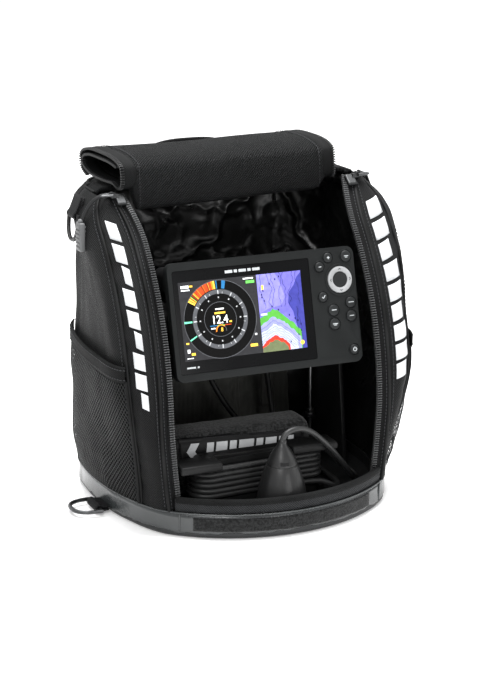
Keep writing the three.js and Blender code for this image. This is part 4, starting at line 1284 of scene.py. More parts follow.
def strap_loop(name, place, width, length, bar, thick):
    """Webbing folded round a ring's bar. In its own frame the tongue runs towards -x."""
    path = [(-length * (1 - k / 5), (bar + thick * 0.6) * (0.42 + 0.3 * (k / 5) ** 2)) for k in range(5)]
    for k in range(13):
        a = math.radians(130 - 260 * k / 12)
        path.append(((bar + thick / 2) * math.cos(a), (bar + thick / 2) * math.sin(a)))
    path += [(x, -z) for x, z in reversed(path[:5])]
    rows = [[place(Vector((x, width * (k / 6 - 0.5), z))) for k in range(7)] for x, z in path]
    return ribbon(name, rows, thick, WEBBING)


TAB_LEAN = math.radians(70)                  # how steeply the shoulder tabs hang


def hardware():
    """Tabs of the rings, the left pull with its ring, cord and grip, and the metal's materials."""
    for name, (x, y), turn in (("left", (-138.4, 4), -1), ("right", (139.6, 26), 1)):
        place = lambda p: Vector((x + turn * p.x, y + p.y, 4.6 + p.z))
        loop = strap_loop(f"ring_strap_{name}", place, 24, 8.6, 2.4, 1.5)
        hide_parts(f"lower_ring_tab_{name}")
        c, s = math.cos(TAB_LEAN), math.sin(TAB_LEAN)
        place = lambda p: Vector((turn * (141.6 + p.x * c + p.z * s), 34 + p.y, 262 - p.x * s + p.z * c))
        loop = strap_loop(f"shoulder_strap_{name}", place, 18, 17, 2.4, 1.4)
        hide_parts(f"upper_tab_{name}")
    bar = Vector((117.2, 4, 282.6))
    ring = [(0, -3.3), (0, 0), (0, 3.3), (2.2, 3.2), (5.2, 2.9), (8.2, 2.2), (10, 1.1), (10.6, 0), (10, -1.1),
            (8.2, -2.2), (5.2, -2.9), (2.2, -3.2)]
    ring = spline([bar + Vector((x, y, 0)) for x, y in ring], 60, closed=True)
    pull = "zipper_pull_left"
    tube("pull_ring_left", [mirrored(p, -1) for p in ring], 1.2, DARK_STEEL, pull, 10, True)
    cord = spline([(126.4, 4, 282.5), (131, 5.6, 280.3), (135.6, 7.6, 275.5), (140, 9.6, 267.5),
                   (143, 11, 258)], 40)
    tube("pull_cord_left", [mirrored(p, -1) for p in cord], 1.6, PULL_CORD, pull, 10)
    body = [((-146.4, -141), (5.8, 17.2), (234.4, 259.6)), ((-145.6, -141.8), (8.5, 14), (259, 262.4))]
    grip = blocks("pull_grip_left", body, RUBBER, 1.6, pull, 3)
    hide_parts("zipper_pull_left")
    ribs = [((-147.1, -140.3), (6.6, 16.4), (237 + 3.6 * k, 238.9 + 3.6 * k)) for k in range(6)]
    blocks("pull_ribs_left", ribs, RUBBER, 0.6, pull)
    repaint(DARK_STEEL, "lower_ring_left", "lower_ring_right", "zipper_pull_right")
    repaint(BLACK_MOULD, "upper_ring_left")


def repaint(mat, *names):
    """Gives CAD nodes that are shown as they are their material."""
    for name in names:
        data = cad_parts[name].data
        data.materials.clear()
        data.materials.append(mat)


PULL_CORD = plastic("pull_cord", (0.006, 0.0063, 0.0068), 0.6)
handle()
hardware()


# ------------------------------------------------------------------ printed stripes in place of lettering
def print_bars():
    """A column of slanted bars up the middle of each front border."""
    low, high, count, nu, nv = 0.35, 0.92, 9, 6, 4
    for side, name in BOTH_SIDES:
        points, faces = [], []
        for bar in range(count):
            v0, v1 = (lerp(low, high, (bar + part) / count) for part in (0, 0.8))
            u0, u1 = (0.38, 0.74) if side < 0 else (0.24, 0.8)
            if bar % 3 == 0:
                u1 -= 0.14
            faces += shell_faces(nu, nv, len(points))
            for lift in (0.4, 0.0):
                for j, i in ((j, i) for j in range(nv + 1) for i in range(nu + 1)):
                    u, v = lerp(u0, u1, i / nu), lerp(v0, v1, j / nv) + 0.012 * (i / nu)
                    p = border_fn(u, v)
                    out = normal_at(border_fn, u, v)
                    points.append(mirrored(p + out * (border_puff(u, v, mirrored(p, side)) + lift), side))
        mesh_piece(f"print_bars_{name}", points, faces, PRINT, "case")


print_bars()


# ------------------------------------------------------------------ lining and inner back
LINING_END = 0.972                           # where the lining ends, as a share of the way to the zipper


def lining_fn(u, v):
    return round_case(lerp(-LINING_END, LINING_END, u), lerp(23.0, DOME_START + DOME_R * 1.5, v))


def folds(p, scale, seed):
    """Ridges such as slack thin cloth shows, from 0 to 1."""
    q = p / scale + Vector((seed, 0, 0))
    n = noise.fractal(q, 0.8, 2.1, 3)
    return max(0.0, 1 - abs(n) * 3.2) ** 2


def lining_puff(u, v, p):
    slack = smooth((p.z - 60) / 80) * crown(u, 0.06)
    slant = Vector((p.x + 0.6 * p.z, p.y, p.z - 0.5 * p.x))
    at = 4 - 4 * abs(lerp(-LINING_END, LINING_END, u))
    return min(0.0, shoulder(at, p)) - 5.3 - slack * (4.2 * folds(slant, 85, 3.3) + 1.8 * folds(p, 45, 8.1)) \
        - 0.8 * ripple(p, 30, 2, 2) * crown(u, 0.1)


def lining():
    made = cloth("lining_cloth", lining_fn, 150 * FINE, 70 * FINE, 0.9, LINING, lining_puff)

    def pad(u, v):
        return Vector((lerp(-92, 110, u), 109.6, lerp(23, 128, v)))
    made = cloth("inner_back", pad, 70, 40, 2.2, BACK_PAD,
                 lambda u, v, p: -1.2 * crown(u, 0.03) * crown(v, 0.05) + 0.5 * ripple(p, 34, 14, 2)
                 + 1.2 * math.exp(-((p.x - 42) / 2) ** 2))
    rows = [[Vector((x, 105.6 + 0.4 * noise.noise(Vector((x / 9, z / 15, 2))), z))
             for x in (68, 70.5, 73, 77, 79.5, 82)] for z in range(41, 125, 3)]
    ribbon("inner_strap", rows, 1.5, BACK_PAD)


def stay():
    """The thin rod behind the head, with its nuts and bracket."""
    x0, y0 = 98, 58
    tube("stay_rod", [(x0, y0, z) for z in (12.6, 30, 60, 90, 123.6)], 1.7, STEEL, sides=20)
    points, faces = [], []
    for z, r, h, sides in ((44, 4.6, 1.0, 24), (45.2, 3.6, 3.4, 6), (119, 3.6, 3.4, 6),
                           (122.6, 4.6, 1.0, 24)):
        start = len(points)
        for level in (z, z + h):
            for k in range(sides):
                a = 2 * math.pi * k / sides
                points.append(Vector((x0 + r * math.cos(a), y0 + r * math.sin(a), level)))
        faces += [tuple(start + k for k in range(sides))[::-1],
                  tuple(start + sides + k for k in range(sides))]
        faces += [(start + k, start + (k + 1) % sides, start + sides + (k + 1) % sides, start + sides + k)
                  for k in range(sides)]
    nuts = mesh_piece("stay_nuts", points, faces, STEEL, "case", smooth=False)
    bevel(nuts, 0.3, 2)
    blocks("stay_bracket", [((93, 102), (52, 64), (40.2, 43.6))], BLACK_MOULD, 0.8)


lining()
stay()


# ------------------------------------------------------------------ turned shapes and softened hard parts
def weld(obj):
    """Closes the poles of a turned shape."""
    bm = bmesh.new()
    bm.from_mesh(obj.data)
    bmesh.ops.remove_doubles(bm, verts=bm.verts, dist=1e-6)
    bmesh.ops.dissolve_degenerate(bm, edges=bm.edges, dist=1e-6)
    bmesh.ops.recalc_face_normals(bm, faces=bm.faces)
    bm.to_mesh(obj.data)
    bm.free()


def lathe(name, profile, place, mat, body="case", steps=48):
    """A turned solid from (radius, height) pairs, set down by place(x, y, height)."""
    points = []
    for k in range(steps):
        a = 2 * math.pi * k / steps
        points += [place(r * math.cos(a), r * math.sin(a), h) for r, h in profile]
    n = len(profile)
    faces = [(k * n + i, k * n + i + 1, (k + 1) % steps * n + i + 1, (k + 1) % steps * n + i)
             for k in range(steps) for i in range(n - 1)]
    obj = mesh_piece(name, points, faces, mat, body)
    weld(obj)
    shade_by_angle(obj, 40)
    return obj


def softened(node, mat, width, body="case"):
    """The CAD node's own shape with its edges rounded off."""
    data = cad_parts[node].data.copy()
    obj = link(bpy.data.objects.new(f"{node}_rounded", data))
    bm = bmesh.new()
    bm.from_mesh(data)
    bmesh.ops.remove_doubles(bm, verts=bm.verts, dist=2e-6)
    bmesh.ops.dissolve_limit(bm, angle_limit=math.radians(1.5), verts=bm.verts, edges=bm.edges)
    bm.to_mesh(data)
    bm.free()
    finish_piece(obj, mat, body)
    bevel(obj, width, 3, 40)
    shade_by_angle(obj, 40)
    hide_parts(node)


# ------------------------------------------------------------------ battery, cable wrap and transducer
WRAP_X, WRAP_Y, WRAP_Z = (-101.5, 54.3), (-36.8, 7.8), (12.6, 71.3)
WRAP_BOX = 0.5                            # how square the wrap's section is: 1 an ellipse, 0 a box


def wrap_fn(u, v):
    """Wrapped pack: u along its length, v round its section."""
    x = lerp(*WRAP_X, u)
    end = min(x - WRAP_X[0], WRAP_X[1] - x)
    pull = 6.5 * (1 - math.sqrt(clamp01(1 - (1 - clamp01(end / 6.5)) ** 2)))
    a = 2 * math.pi * v
    c, s = math.cos(a), math.sin(a)
    half_y, half_z = (WRAP_Y[1] - WRAP_Y[0]) / 2 - pull, (WRAP_Z[1] - WRAP_Z[0]) / 2 - pull
    y, z = sum(WRAP_Y) / 2 + half_y * power(c, WRAP_BOX), sum(WRAP_Z) / 2 + half_z * power(s, WRAP_BOX)
    return Vector((x, y, z))


def wrap_front(z):
    """How far forward the wrap's front lies at a height."""
    middle, half = sum(WRAP_Z) / 2, (WRAP_Z[1] - WRAP_Z[0]) / 2
    reach = max(0.0, 1 - (abs(z - middle) / half) ** (2 / WRAP_BOX)) ** (WRAP_BOX / 2)
    return sum(WRAP_Y) / 2 - (WRAP_Y[1] - WRAP_Y[0]) / 2 * reach


LABEL_X, LABEL_FOOT, LABEL_TALL = (-73.5, 45), (46, 41), 22.5    # its foot slants down to the right


def battery_wrap():
    """The sleeve, its grommet and its label with plain bars."""
    nu, nv = 110, 150
    points = []
    for i in range(nu + 1):
        soft = crown(i / nu, 0.08)
        for j in range(nv):
            p = wrap_fn(i / nu, j / nv)
            out = Vector((0, p.y - sum(WRAP_Y) / 2, p.z - sum(WRAP_Z) / 2)).normalized()
            free = smooth((p.z - 18) / 10)
            points.append(p + out * (soft * free * (0.7 * ripple(p, 34, 51) + 0.5) - 0.5 * soft))
    faces = loft_faces(nu + 1, nv, caps=False)
    for i in (0, nu):
        middle = Vector((points[i * nv].x, sum(WRAP_Y) / 2, sum(WRAP_Z) / 2))
        rings = [[i * nv + j for j in range(nv)]]
        for shrink in (0.75, 0.5, 0.25):
            rings.append(list(range(len(points), len(points) + nv)))
            for j in range(nv):
                p = middle.lerp(points[i * nv + j], shrink)
                points.append(p + Vector((0.5 * ripple(p, 18, 4, 2), 0, 0)))
        for a, b in zip(rings, rings[1:]):
            faces += [(a[j], a[(j + 1) % nv], b[(j + 1) % nv], b[j]) for j in range(nv)]
        points.append(middle)
        faces += [(rings[-1][j], rings[-1][(j + 1) % nv], len(points) - 1) for j in range(nv)]
    made = mesh_piece("battery_sleeve", points, faces, WRAP, "case")
    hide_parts("battery_wrap")
    collar = [(0, -0.4), (6.4, -0.4), (7, 0.4), (6.6, 1.6), (4.6, 2.2), (4, 4.5), (3.0, 5.2), (0, 5.2)]
    lathe("battery_grommet", collar, lambda a, b, h: Vector((53.4 + h, -8 + a, 43 + b)), BLACK_MOULD)

    def label(u, v):
        x, z = lerp(*LABEL_X, u), lerp(*LABEL_FOOT, u) + LABEL_TALL * v
        return Vector((x, wrap_front(z) - 1.3 - 0.15 * ripple((x, v * 20, 0), 30, 9, 2), z))
    swell = lambda u, v, p: 0.35 * crown(u, 0.01) * crown(v, 0.06)
    made = cloth("label_patch", label, 60, 12, 1.0, LABEL, swell)
    low, high, slant = 0.2, 0.8, 0.018
    bars = []                                 # each bar as rows of (left, right, height) on the patch
    for at, wide in ((0.2, 0.055), (0.275, 0.09), (0.385, 0.055), (0.46, 0.12), (0.6, 0.055), (0.675, 0.09),
                     (0.785, 0.055), (0.86, 0.045)):
        bars.append([(at + slant * t, at + wide + slant * t, lerp(low, high, t)) for t in (0, 0.25, 0.5,
                                                                                           0.75, 1)])
    bars += [[(0.05 + 0.04 * t, 0.115 + 0.04 * t, 0.5 + way * 0.31 * t) for t in (0, 0.5, 1)]
             for way in (-1, 1)]
    points, faces = [], []
    for bar in bars:
        start, rows = len(points), len(bar)
        for depth in (-0.75, -0.3):
            for left, right, v in bar:
                points += [label(left, v) + Vector((0, depth, 0)), label(right, v) + Vector((0, depth, 0))]
        back = start + 2 * rows
        for k in range(0, 2 * rows - 2, 2):
            faces += [(start + k, start + k + 1, start + k + 3, start + k + 2),
                      (back + k, back + k + 2, back + k + 3, back + k + 1),
                      (start + k, start + k + 2, back + k + 2, back + k),
                      (start + k + 1, back + k + 1, back + k + 3, start + k + 3)]
        for k in (0, 2 * rows - 2):
            faces.append((start + k, back + k, back + k + 1, start + k + 1))
    mesh_piece("label_bars", points, faces, PRINT, "case", smooth=False)
    along = [k / 60 for k in range(61)]
    edge = [label(u, 0.02) for u in along] + [label(1, v) for v in (0.3, 0.6, 0.98)]
    edge += [label(1 - u, 0.98) for u in along] + [label(0, v) for v in (0.7, 0.4, 0.02)]
    dashes("label_stitches", [p + Vector((0, -0.5, 0)) for p in edge], (2.2, 1.5, 0.25))


def transducer():
    """The cone with its window and the relief of its cable."""
    base = Vector((0, -91, 12.3))
    knots = [(0, 0), (22.6, 0), (23.9, 0.5), (24.5, 1.8), (24.4, 4.4), (23.3, 7.2), (21.9, 9.8), (21.6, 14),
             (20.6, 19.6), (19.5, 24.4), (18.1, 29.6), (16.3, 35), (14.3, 40.6), (14, 41.1), (13.3, 41.3),
             (13.1, 41.8), (13.3, 42.4), (13.0, 43.2), (12.2, 45.6), (11.2, 48.2), (9.9, 50.8), (8.2, 53.6),
             (6.4, 56.2), (5.1, 57.8), (4.4, 58.8), (3.9, 60), (3.5, 60.8), (3.1, 61.2), (0, 61.2)]
    made = lathe("transducer_cone", knots, lambda a, b, h: base + Vector((a, b, h)), CONE,
                 steps=96)
    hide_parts("transducer")
    points, faces = [], []
    for depth in (0.25, -1.5):
        for k in range(9):
            a = math.radians(-104 - 17 + 34 * k / 8)
            for h in (43.6, 46.4):
                r = lerp(12.95, 12.0, (h - 43.6) / 2.8) + depth
                points.append(base + Vector((r * math.cos(a), r * math.sin(a), h)))
    n = 18
    for side in (0, n):
        faces += [(side + 2 * k, side + 2 * k + 1, side + 2 * k + 3, side + 2 * k + 2) for k in range(8)]
    for k in range(8):
        for e in (0, 1):
            faces.append((2 * k + e, 2 * k + 2 + e, n + 2 * k + 2 + e, n + 2 * k + e))
    faces += [(0, 1, n + 1, n), (16, 17, n + 17, n + 16)]
    mesh_piece("transducer_window", points, faces, LABEL, "case", smooth=False)
    lathe("transducer_relief", [(2.7, 0), (3.6, 0.2), (3.5, 1.6), (3.1, 3.2), (2.9, 3.4), (2.7, 3.4)],
          lambda a, b, h: Vector((a + 0.1 + 0.16 * h, -91 + b, 72.3 + h)), CONE,
          steps=32)


def shuttle():
    """The moulded parts that hold the battery, the cable and the head."""
    softened("cable_wrap", EARS, 0.8)
    blocks("wrap_lips",
           [((-90.6, -52.6), (-84.2, -79.6), (52.4, 58.6)), ((20, 64), (-71, -66.6), (52.4, 58.6))],
           EARS, 1.4, segments=3)
    for node in ("shuttle_shelf", "shuttle_wall_left", "shuttle_wall_right"):
        softened(node, SHELL, 0.8)
    softened("gimbal_bracket", SHELL, 0.7)
    repaint(SHELL, "shuttle_tray", "battery", "transducer_plug", "power_plug", "cursor_pivot")
    repaint(SLIDER, "zipper_slider_left", "zipper_slider_right")
    repaint(BOARD, "main_board")
    repaint(LABEL, "display_panel")


battery_wrap()
transducer()
shuttle()


# ------------------------------------------------------------------ display head
TILT = math.radians(14)


def on_face(x, y, z):
    """Face coordinates: x right, y into the head, z up the face."""
    c, s = math.cos(TILT), math.sin(TILT)
    return Vector((x, -58 + y * c + z * s, 180.5 - y * s + z * c))


def flats(name, shapes, mat, depth, body="head", thick=0.03):
    """Thin flat shapes, each a list of (x, z) on the face."""
    points, faces = [], []
    for shape in shapes:
        n, start = len(shape), len(points)
        points += [on_face(x, depth, z) for x, z in shape] + [on_face(x, depth + thick, z) for x, z in shape]
        faces += [tuple(range(start, start + n)), tuple(range(start + n, start + 2 * n))[::-1]]
        faces += [(start + i, start + (i + 1) % n, start + n + (i + 1) % n, start + n + i) for i in range(n)]
    return mesh_piece(name, points, faces, mat, body, smooth=False)


def box_shape(x0, x1, z0, z1):
    return [(x0, z0), (x1, z0), (x1, z1), (x0, z1)]


def arc_shape(middle, r0, r1, from_deg, to_deg, steps=None):
    """Part of a ring; degrees run clockwise from twelve o'clock."""
    steps = steps or max(2, int(abs(to_deg - from_deg) / 4))
    cx, cz = middle
    angles = [math.radians(lerp(from_deg, to_deg, k / steps)) for k in range(steps + 1)]
    outer = [(cx + r1 * math.sin(a), cz + r1 * math.cos(a)) for a in angles]
    inner = [(cx + r0 * math.sin(a), cz + r0 * math.cos(a)) for a in reversed(angles)]
    return outer + inner


def ring_shapes(middle, r0, r1):
    return [arc_shape(middle, r0, r1, 120 * k, 120 * (k + 1), 32) for k in range(3)]


def line_shape(points, width):
    """A drawn line of a given width through points."""
    left, right = [], []
    for i, (x, z) in enumerate(points):
        ax, az = points[max(0, i - 1)]
        bx, bz = points[min(len(points) - 1, i + 1)]
        size = math.hypot(bx - ax, bz - az) or 1.0
        nx, nz = -(bz - az) / size * width / 2, (bx - ax) / size * width / 2
        left.append((x + nx, z + nz))
        right.append((x - nx, z - nz))
    return left + right[::-1]


def glow(name, color, strength):
    """A lit colour of the screen."""
    look = Look(name, color, 0.4, spec=0.08)
    dim, bright = tuple(c * 0.86 for c in color), tuple(min(1, c * 1.1) for c in color)
    tint = look.ramp(look.noise(260, 2), [(0.3, dim), (0.7, bright)])
    look.link(tint, look.shader.inputs["Base Color"])
    look.link(tint, look.shader.inputs["Emission Color"])
    look.shader.inputs["Emission Strength"].default_value = strength
    return look.mat


GLOW_WHITE = glow("screen_white", (0.8, 0.82, 0.82), 0.75)
GLOW_DARK = glow("screen_dark", (0.022, 0.022, 0.024), 0.35)
GLOW_BLACK = glow("screen_black", (0.0015, 0.0015, 0.0015), 0.1)
GLOW_GREY = glow("screen_grey", (0.075, 0.078, 0.085), 0.4)
GLOW_TICK = glow("screen_tick", (0.4, 0.41, 0.42), 0.5)
GLOW_RED = glow("screen_red", (0.42, 0.05, 0.012), 0.6)
GLOW_DEEP_RED = glow("screen_deep_red", (0.2, 0.03, 0.01), 0.6)
GLOW_ORANGE = glow("screen_orange", (0.85, 0.2, 0.02), 0.6)
GLOW_YELLOW = glow("screen_yellow", (0.85, 0.5, 0.06), 0.6)
GLOW_GREEN = glow("screen_green", (0.12, 0.5, 0.09), 0.5)
GLOW_MINT = glow("screen_mint", (0.14, 0.62, 0.36), 0.6)
GLOW_BLUE = glow("screen_blue", (0.02, 0.13, 0.3), 0.6)
MAP_VIOLET = glow("map_violet", (0.125, 0.115, 0.42), 0.55)
MAP_PALE_VIOLET = glow("map_pale_violet", (0.19, 0.18, 0.53), 0.5)
MAP_DEEP = glow("map_deep", (0.04, 0.042, 0.23), 0.5)
MAP_LILAC = glow("map_lilac", (0.24, 0.25, 0.5), 0.42)
MAP_WHITE = glow("map_white", (0.4, 0.44, 0.64), 0.42)
MAP_GREEN = glow("map_green", (0.075, 0.3, 0.045), 0.42)
MAP_RED = glow("map_red", (0.62, 0.035, 0.02), 0.5)
MAP_OLIVE = glow("map_olive", (0.11, 0.13, 0.065), 0.5)
MAP_LINE = glow("map_line", (0.012, 0.012, 0.06), 0.2)
GLASS = Look("glass", (0.0026, 0.0027, 0.003), 0.14, spec=0.1)
GLASS.roughen(GLASS.noise(30, 3), 0.09, 0.17)
GLASS.vary(GLASS.noise(12, 2), 0.8, 1.2)
GLASS = GLASS.mat

PICTURE = (-79.0, 35.6, -33.4, 34.0)         # left, right, bottom, top of the lit area
SPLIT = -6.4                                 # where the dial page ends and the chart begins
DIAL = (-43.2, -0.4)                         # the sonar dial's middle
DIAL_HUB, DIAL_INNER, DIAL_SCALE, DIAL_RIM = 14.6, 21.9, 25.4, 33.2
PRINT_Y = 0.46                               # depth of the lowest picture layer, just outside the glass
LAYER = 0.035


def layer(k):
    return PRINT_Y - LAYER * k


def drawn(name, shapes, mat, level):
    """Flat shapes on one of the picture's layers; a higher level lies nearer to the viewer."""
    flats(name, shapes, mat, layer(level))


NUMERAL_TALL, NUMERAL_SQUEEZE = 0.73, 0.92   # numerals' height in the font, and their narrowing


def digits(name, text, x, z, height, mat, level):
    """Slightly narrow numbers set in the face's plane, as a mesh."""
    data = bpy.data.curves.new(name, "FONT")
    data.body = text
    data.size = 1.0
    data.offset = 0.012
    data.align_x = "CENTER"
    temp = link(bpy.data.objects.new(name, data))
    graph = bpy.context.evaluated_depsgraph_get()
    graph.update()
    made = bpy.data.meshes.new_from_object(temp.evaluated_get(graph))
    bpy.data.objects.remove(temp)
    scale = height / NUMERAL_TALL
    for vertex in made.vertices:
        px, py = vertex.co.x * scale * NUMERAL_SQUEEZE, vertex.co.y * scale
        vertex.co = P(*on_face(x + px, layer(level), z + py))
    obj = link(bpy.data.objects.new(name, made))
    made.materials.append(mat)
    thicken(obj, 0.03)
    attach(obj, "head")


def dial_page():
    """The picture's left half: a sonar dial with echoes and readings."""
    left, _, bottom, top = PICTURE
    drawn("page_ground", [box_shape(left, SPLIT, bottom, top)], GLOW_DARK, 0)
    drawn("dial_track", ring_shapes(DIAL, 25.6, DIAL_RIM), GLOW_BLACK, 1)
    rims = ring_shapes(DIAL, DIAL_RIM, 33.7) + ring_shapes(DIAL, DIAL_HUB, 15.0)
    drawn("dial_rim", rims, GLOW_GREY, 2)
    drawn("dial_scale", ring_shapes(DIAL, DIAL_INNER, DIAL_SCALE), GLOW_GREY, 1)
    drawn("dial_inner", ring_shapes(DIAL, 15.0, DIAL_INNER), GLOW_BLACK, 1)
    drawn("dial_middle", ring_shapes(DIAL, 0.05, DIAL_HUB), GLOW_BLACK, 1)
    ticks = []
    for k in (k for k in range(36) if k % 3 != 2):
        near, far, half = (22.0, 23.6, 0.5) if k % 3 else (21.6, 24.8, 1.1)
        ticks.append(arc_shape(DIAL, near, far, 10 * k - half, 10 * k + half, 2))
    marks = [arc_shape(DIAL, 18.0, 19.3, 30 * k - 1.6, 30 * k + 1.6, 2) for k in range(12)]
    drawn("dial_ticks", ticks + marks, GLOW_TICK, 2)
    arc = lambda spans: [arc_shape(DIAL, 26.2, 33.1, a, b, 3) for a, b in spans]
    drawn("echo_red", arc([(-15.5, -11), (-24.5, -18.5), (-41, -36), (-35, -27.5)]), GLOW_RED, 2)
    drawn("echo_deep_red", arc([(-18.5, -16), (-27.5, -25), (-48, -44.5)]), GLOW_DEEP_RED, 2)
    drawn("echo_orange",
          arc([(-10.8, -7.4), (-25, -24.4), (-36, -35), (-43, -41.6), (-51.6, -50.4), (-56, -54.6)]),
          GLOW_ORANGE, 3)
    drawn("echo_yellow", arc([(-7.4, -4.6), (-16, -15.5), (-44.4, -43.4), (-53.8, -52.6), (-58.6, -57.4)]),
          GLOW_YELLOW, 3)
    drawn("echo_green", arc([(-50.2, -49.2), (-54.4, -53.9), (-57.2, -56.2)]), GLOW_GREEN, 3)
    drawn("echo_mint",
          [arc_shape(DIAL, 26, 33.2, -91.6, -88.6, 2), arc_shape(DIAL, 26, 33.2, -119.4, -117.2, 2)],
          GLOW_MINT, 2)
    drawn("echo_blue", arc([(-2.6, -0.8), (7.4, 13.4)]), GLOW_BLUE, 2)
    cx, cz = DIAL
    digits("reading", "12.4", cx - 0.6, cz - 3.6, 7.2, GLOW_WHITE, 3)
    digits("small_reading", "8", cx + 0.6, cz - 10.6, 3.4, GLOW_YELLOW, 3)
    drawn("small_dial", [arc_shape((cx, cz - 9.6), 4.1, 5.1, -100, 45, 14)], GLOW_ORANGE, 3)
    drawn("small_dial_rest", [arc_shape((cx, cz - 9.6), 4.4, 4.9, 50, 100, 6)], GLOW_GREY, 3)
    bars = [(-10, -3.2, GLOW_BLUE), (-3.2, 3.4, GLOW_GREEN), (3.4, 9.6, GLOW_RED)]
    for k, (a, b, mat) in enumerate(bars):
        drawn(f"depth_bar_{k}", [box_shape(cx + a, cx + b, cz - 5.6, cz - 4.9)], mat, 3)
    white = ((left + 2.2, left + 9.5, 28.6, 30.9), (left + 2.2, left + 10, 26.4, 27.4),
             (-19, -9.5, 31.2, 32.4), (cx - 4, cx + 4, cz + 8.2, cz + 9.4),
             (left + 3, left + 5.4, -26.5, -23.4),
             (left + 2, left + 8, -31.4, -30.7), (-12.5, -10.6, -17.4, -15.8),
             (cx - 9.4, cx - 5.4, cz - 8, cz - 7))
    gold = ((left + 10.2, left + 13, 29.2, 30.7), (cx - 5, cx + 5, cz + 4.6, cz + 6.2),
            (-17.6, -10.8, -27, -24.6), (left + 6.4, left + 10, -28.8, -26.6),
            (cx + 8, cx + 10.4, cz - 3.4, cz - 2.2),
            (left + 2.4, left + 5, -19, -17.6))
    drawn("page_marks", [box_shape(*mark) for mark in white], GLOW_WHITE, 2)
    drawn("page_marks_gold", [box_shape(*mark) for mark in gold], GLOW_YELLOW, 2)
    drawn("page_marks_green", [box_shape(-16.6, -8.6, 27.6, 30)], GLOW_GREEN, 2)


def chart_line(at, sway, seed, span, steps=26):
    """A contour running down the chart at a share of its width."""
    left, right, bottom, top = SPLIT, *PICTURE[1:]
    out = []
    for k in range(steps + 1):
        t = lerp(*span, k / steps)
        broad, small = noise.noise(Vector((t * 4.1, seed, 0.3))), noise.noise(Vector((t * 13, seed, 4)))
        u = at + sway * broad + 0.35 * sway * small
        out.append((lerp(left, right, clamp01(u)), lerp(top, bottom, t)))
    return line_shape(out, 0.28)


def shore(u, lift):
    """Height of a rounded point of land across the chart, as a share from its top."""
    rise = 0.47 + 0.62 * max(0.0, u - 0.3) ** 1.35 + 0.35 * max(0.0, 0.3 - u)
    broad, small = noise.noise(Vector((u * 9, lift * 8, 1))), noise.noise(Vector((u * 27, lift * 30, 4)))
    return clamp01(rise + lift + (0.02 * broad + 0.022 * small))


def below(lift, u_end, steps=28):
    """The land under the shore line, as one shape."""
    left, right, bottom, top = SPLIT, *PICTURE[1:]
    shares = [u_end * k / steps for k in range(steps + 1)]
    edge = [(lerp(left, right, u), lerp(top, bottom, shore(u, lift))) for u in shares]
    edge = [p for p in edge if p[1] > bottom + 0.01] or edge[:1]
    return edge + [(edge[-1][0], bottom), (left, bottom)]


def chart_page():
    """The picture's right half: an invented stretch of coast."""
    left, right, bottom, top = SPLIT, *PICTURE[1:]
    x = lambda u: lerp(left, right, u)
    z = lambda v: lerp(top, bottom, v)
    drawn("chart_ground", [box_shape(left, right, bottom, top)], MAP_VIOLET, 0)
    pale = ((0, 0), (0.42, 0), (0.5, 0.1), (0.55, 0.2), (0.6, 0.32), (0.5, 0.42), (0.2, 0.45), (0, 0.5))
    drawn("chart_shallow", [[(x(u), z(v)) for u, v in pale]], MAP_PALE_VIOLET, 1)
    deep = ((1, 0.02), (1, 1), (0.9, 1), (0.86, 0.8), (0.8, 0.66), (0.76, 0.52), (0.66, 0.4), (0.7, 0.26),
            (0.82, 0.18), (0.9, 0.08))
    drawn("chart_deep", [[(x(u), z(v)) for u, v in deep]], MAP_DEEP, 1)
    bands = (("green", -0.01, 0.9, MAP_GREEN), ("lilac", 0.085, 0.88, MAP_LILAC),
             ("white", 0.17, 0.8, MAP_WHITE), ("red", 0.33, 0.62, MAP_RED), ("olive", 0.375, 0.58, MAP_OLIVE))
    for level, (name, lift, u_end, mat) in enumerate(bands, 2):
        drawn(f"chart_{name}", [below(lift, u_end)], mat, level)
    lines = [chart_line(0.1 + 0.13 * k, 0.16, 2.0 + k, span=(0.0, 0.44)) for k in range(7)]
    drawn("chart_lines", lines, MAP_LINE, 3)
    drawn("chart_lines_deep",
          [chart_line(0.86 + 0.05 * k, 0.1, 12.0 + k, span=(0.45, 1.0)) for k in range(2)], MAP_LINE, 2)
    curves = []
    for k in range(6):
        lift = 0.135 + 0.035 * k
        curves.append(line_shape([(x(u), z(shore(u, lift))) for u in (0.84 * i / 24 for i in range(25))
                                  if shore(u, lift) < 0.985], 0.24))
    drawn("chart_curves", curves, MAP_LINE, 5)
    soundings = []
    for k in range(16):
        u, v = 0.08 + 0.84 * (0.5 + 0.5 * math.sin(k * 2.4)), 0.05 + 0.9 * ((k * 0.618) % 1.0)
        soundings.append(box_shape(x(u) - 0.5, x(u) + 0.5, z(v) - 0.8, z(v) + 0.8))
    drawn("chart_soundings", [s for s in soundings if s[0][0] > left + 0.4 and s[1][0] < right - 0.4],
          MAP_LINE, 7)
    drawn("chart_marker",
          [arc_shape((x(0.9), z(0.925)), 0.02, 1.9, 120 * k, 120 * (k + 1), 8) for k in range(3)],
          GLOW_YELLOW, 7)
    drawn("chart_flag", [box_shape(x(0.09), x(0.14), z(0.2), z(0.14))], GLOW_YELLOW, 2)
    drawn("chart_tag", [box_shape(x(0.02), x(0.17), z(0.53), z(0.5))], MAP_WHITE, 3)


# Each button's middle on the face and its radius
BUTTONS = {"zoom_in": (62.8, 42.4, 4.4), "zoom_out": (54, 35, 4.4), "info": (80.2, 42.3, 5.1),
           "check": (54.8, 8.6, 4.4), "menu": (80.9, 1.6, 4.9), "view": (63.8, -3.8, 5.1),
           "exit": (80.5, -10.3, 4.9), "mark": (63.7, -15.9, 5.1), "power": (80.3, -39.9, 4.5)}
PAD = (72.7, 22.4)                           # the middle of the cursor pad


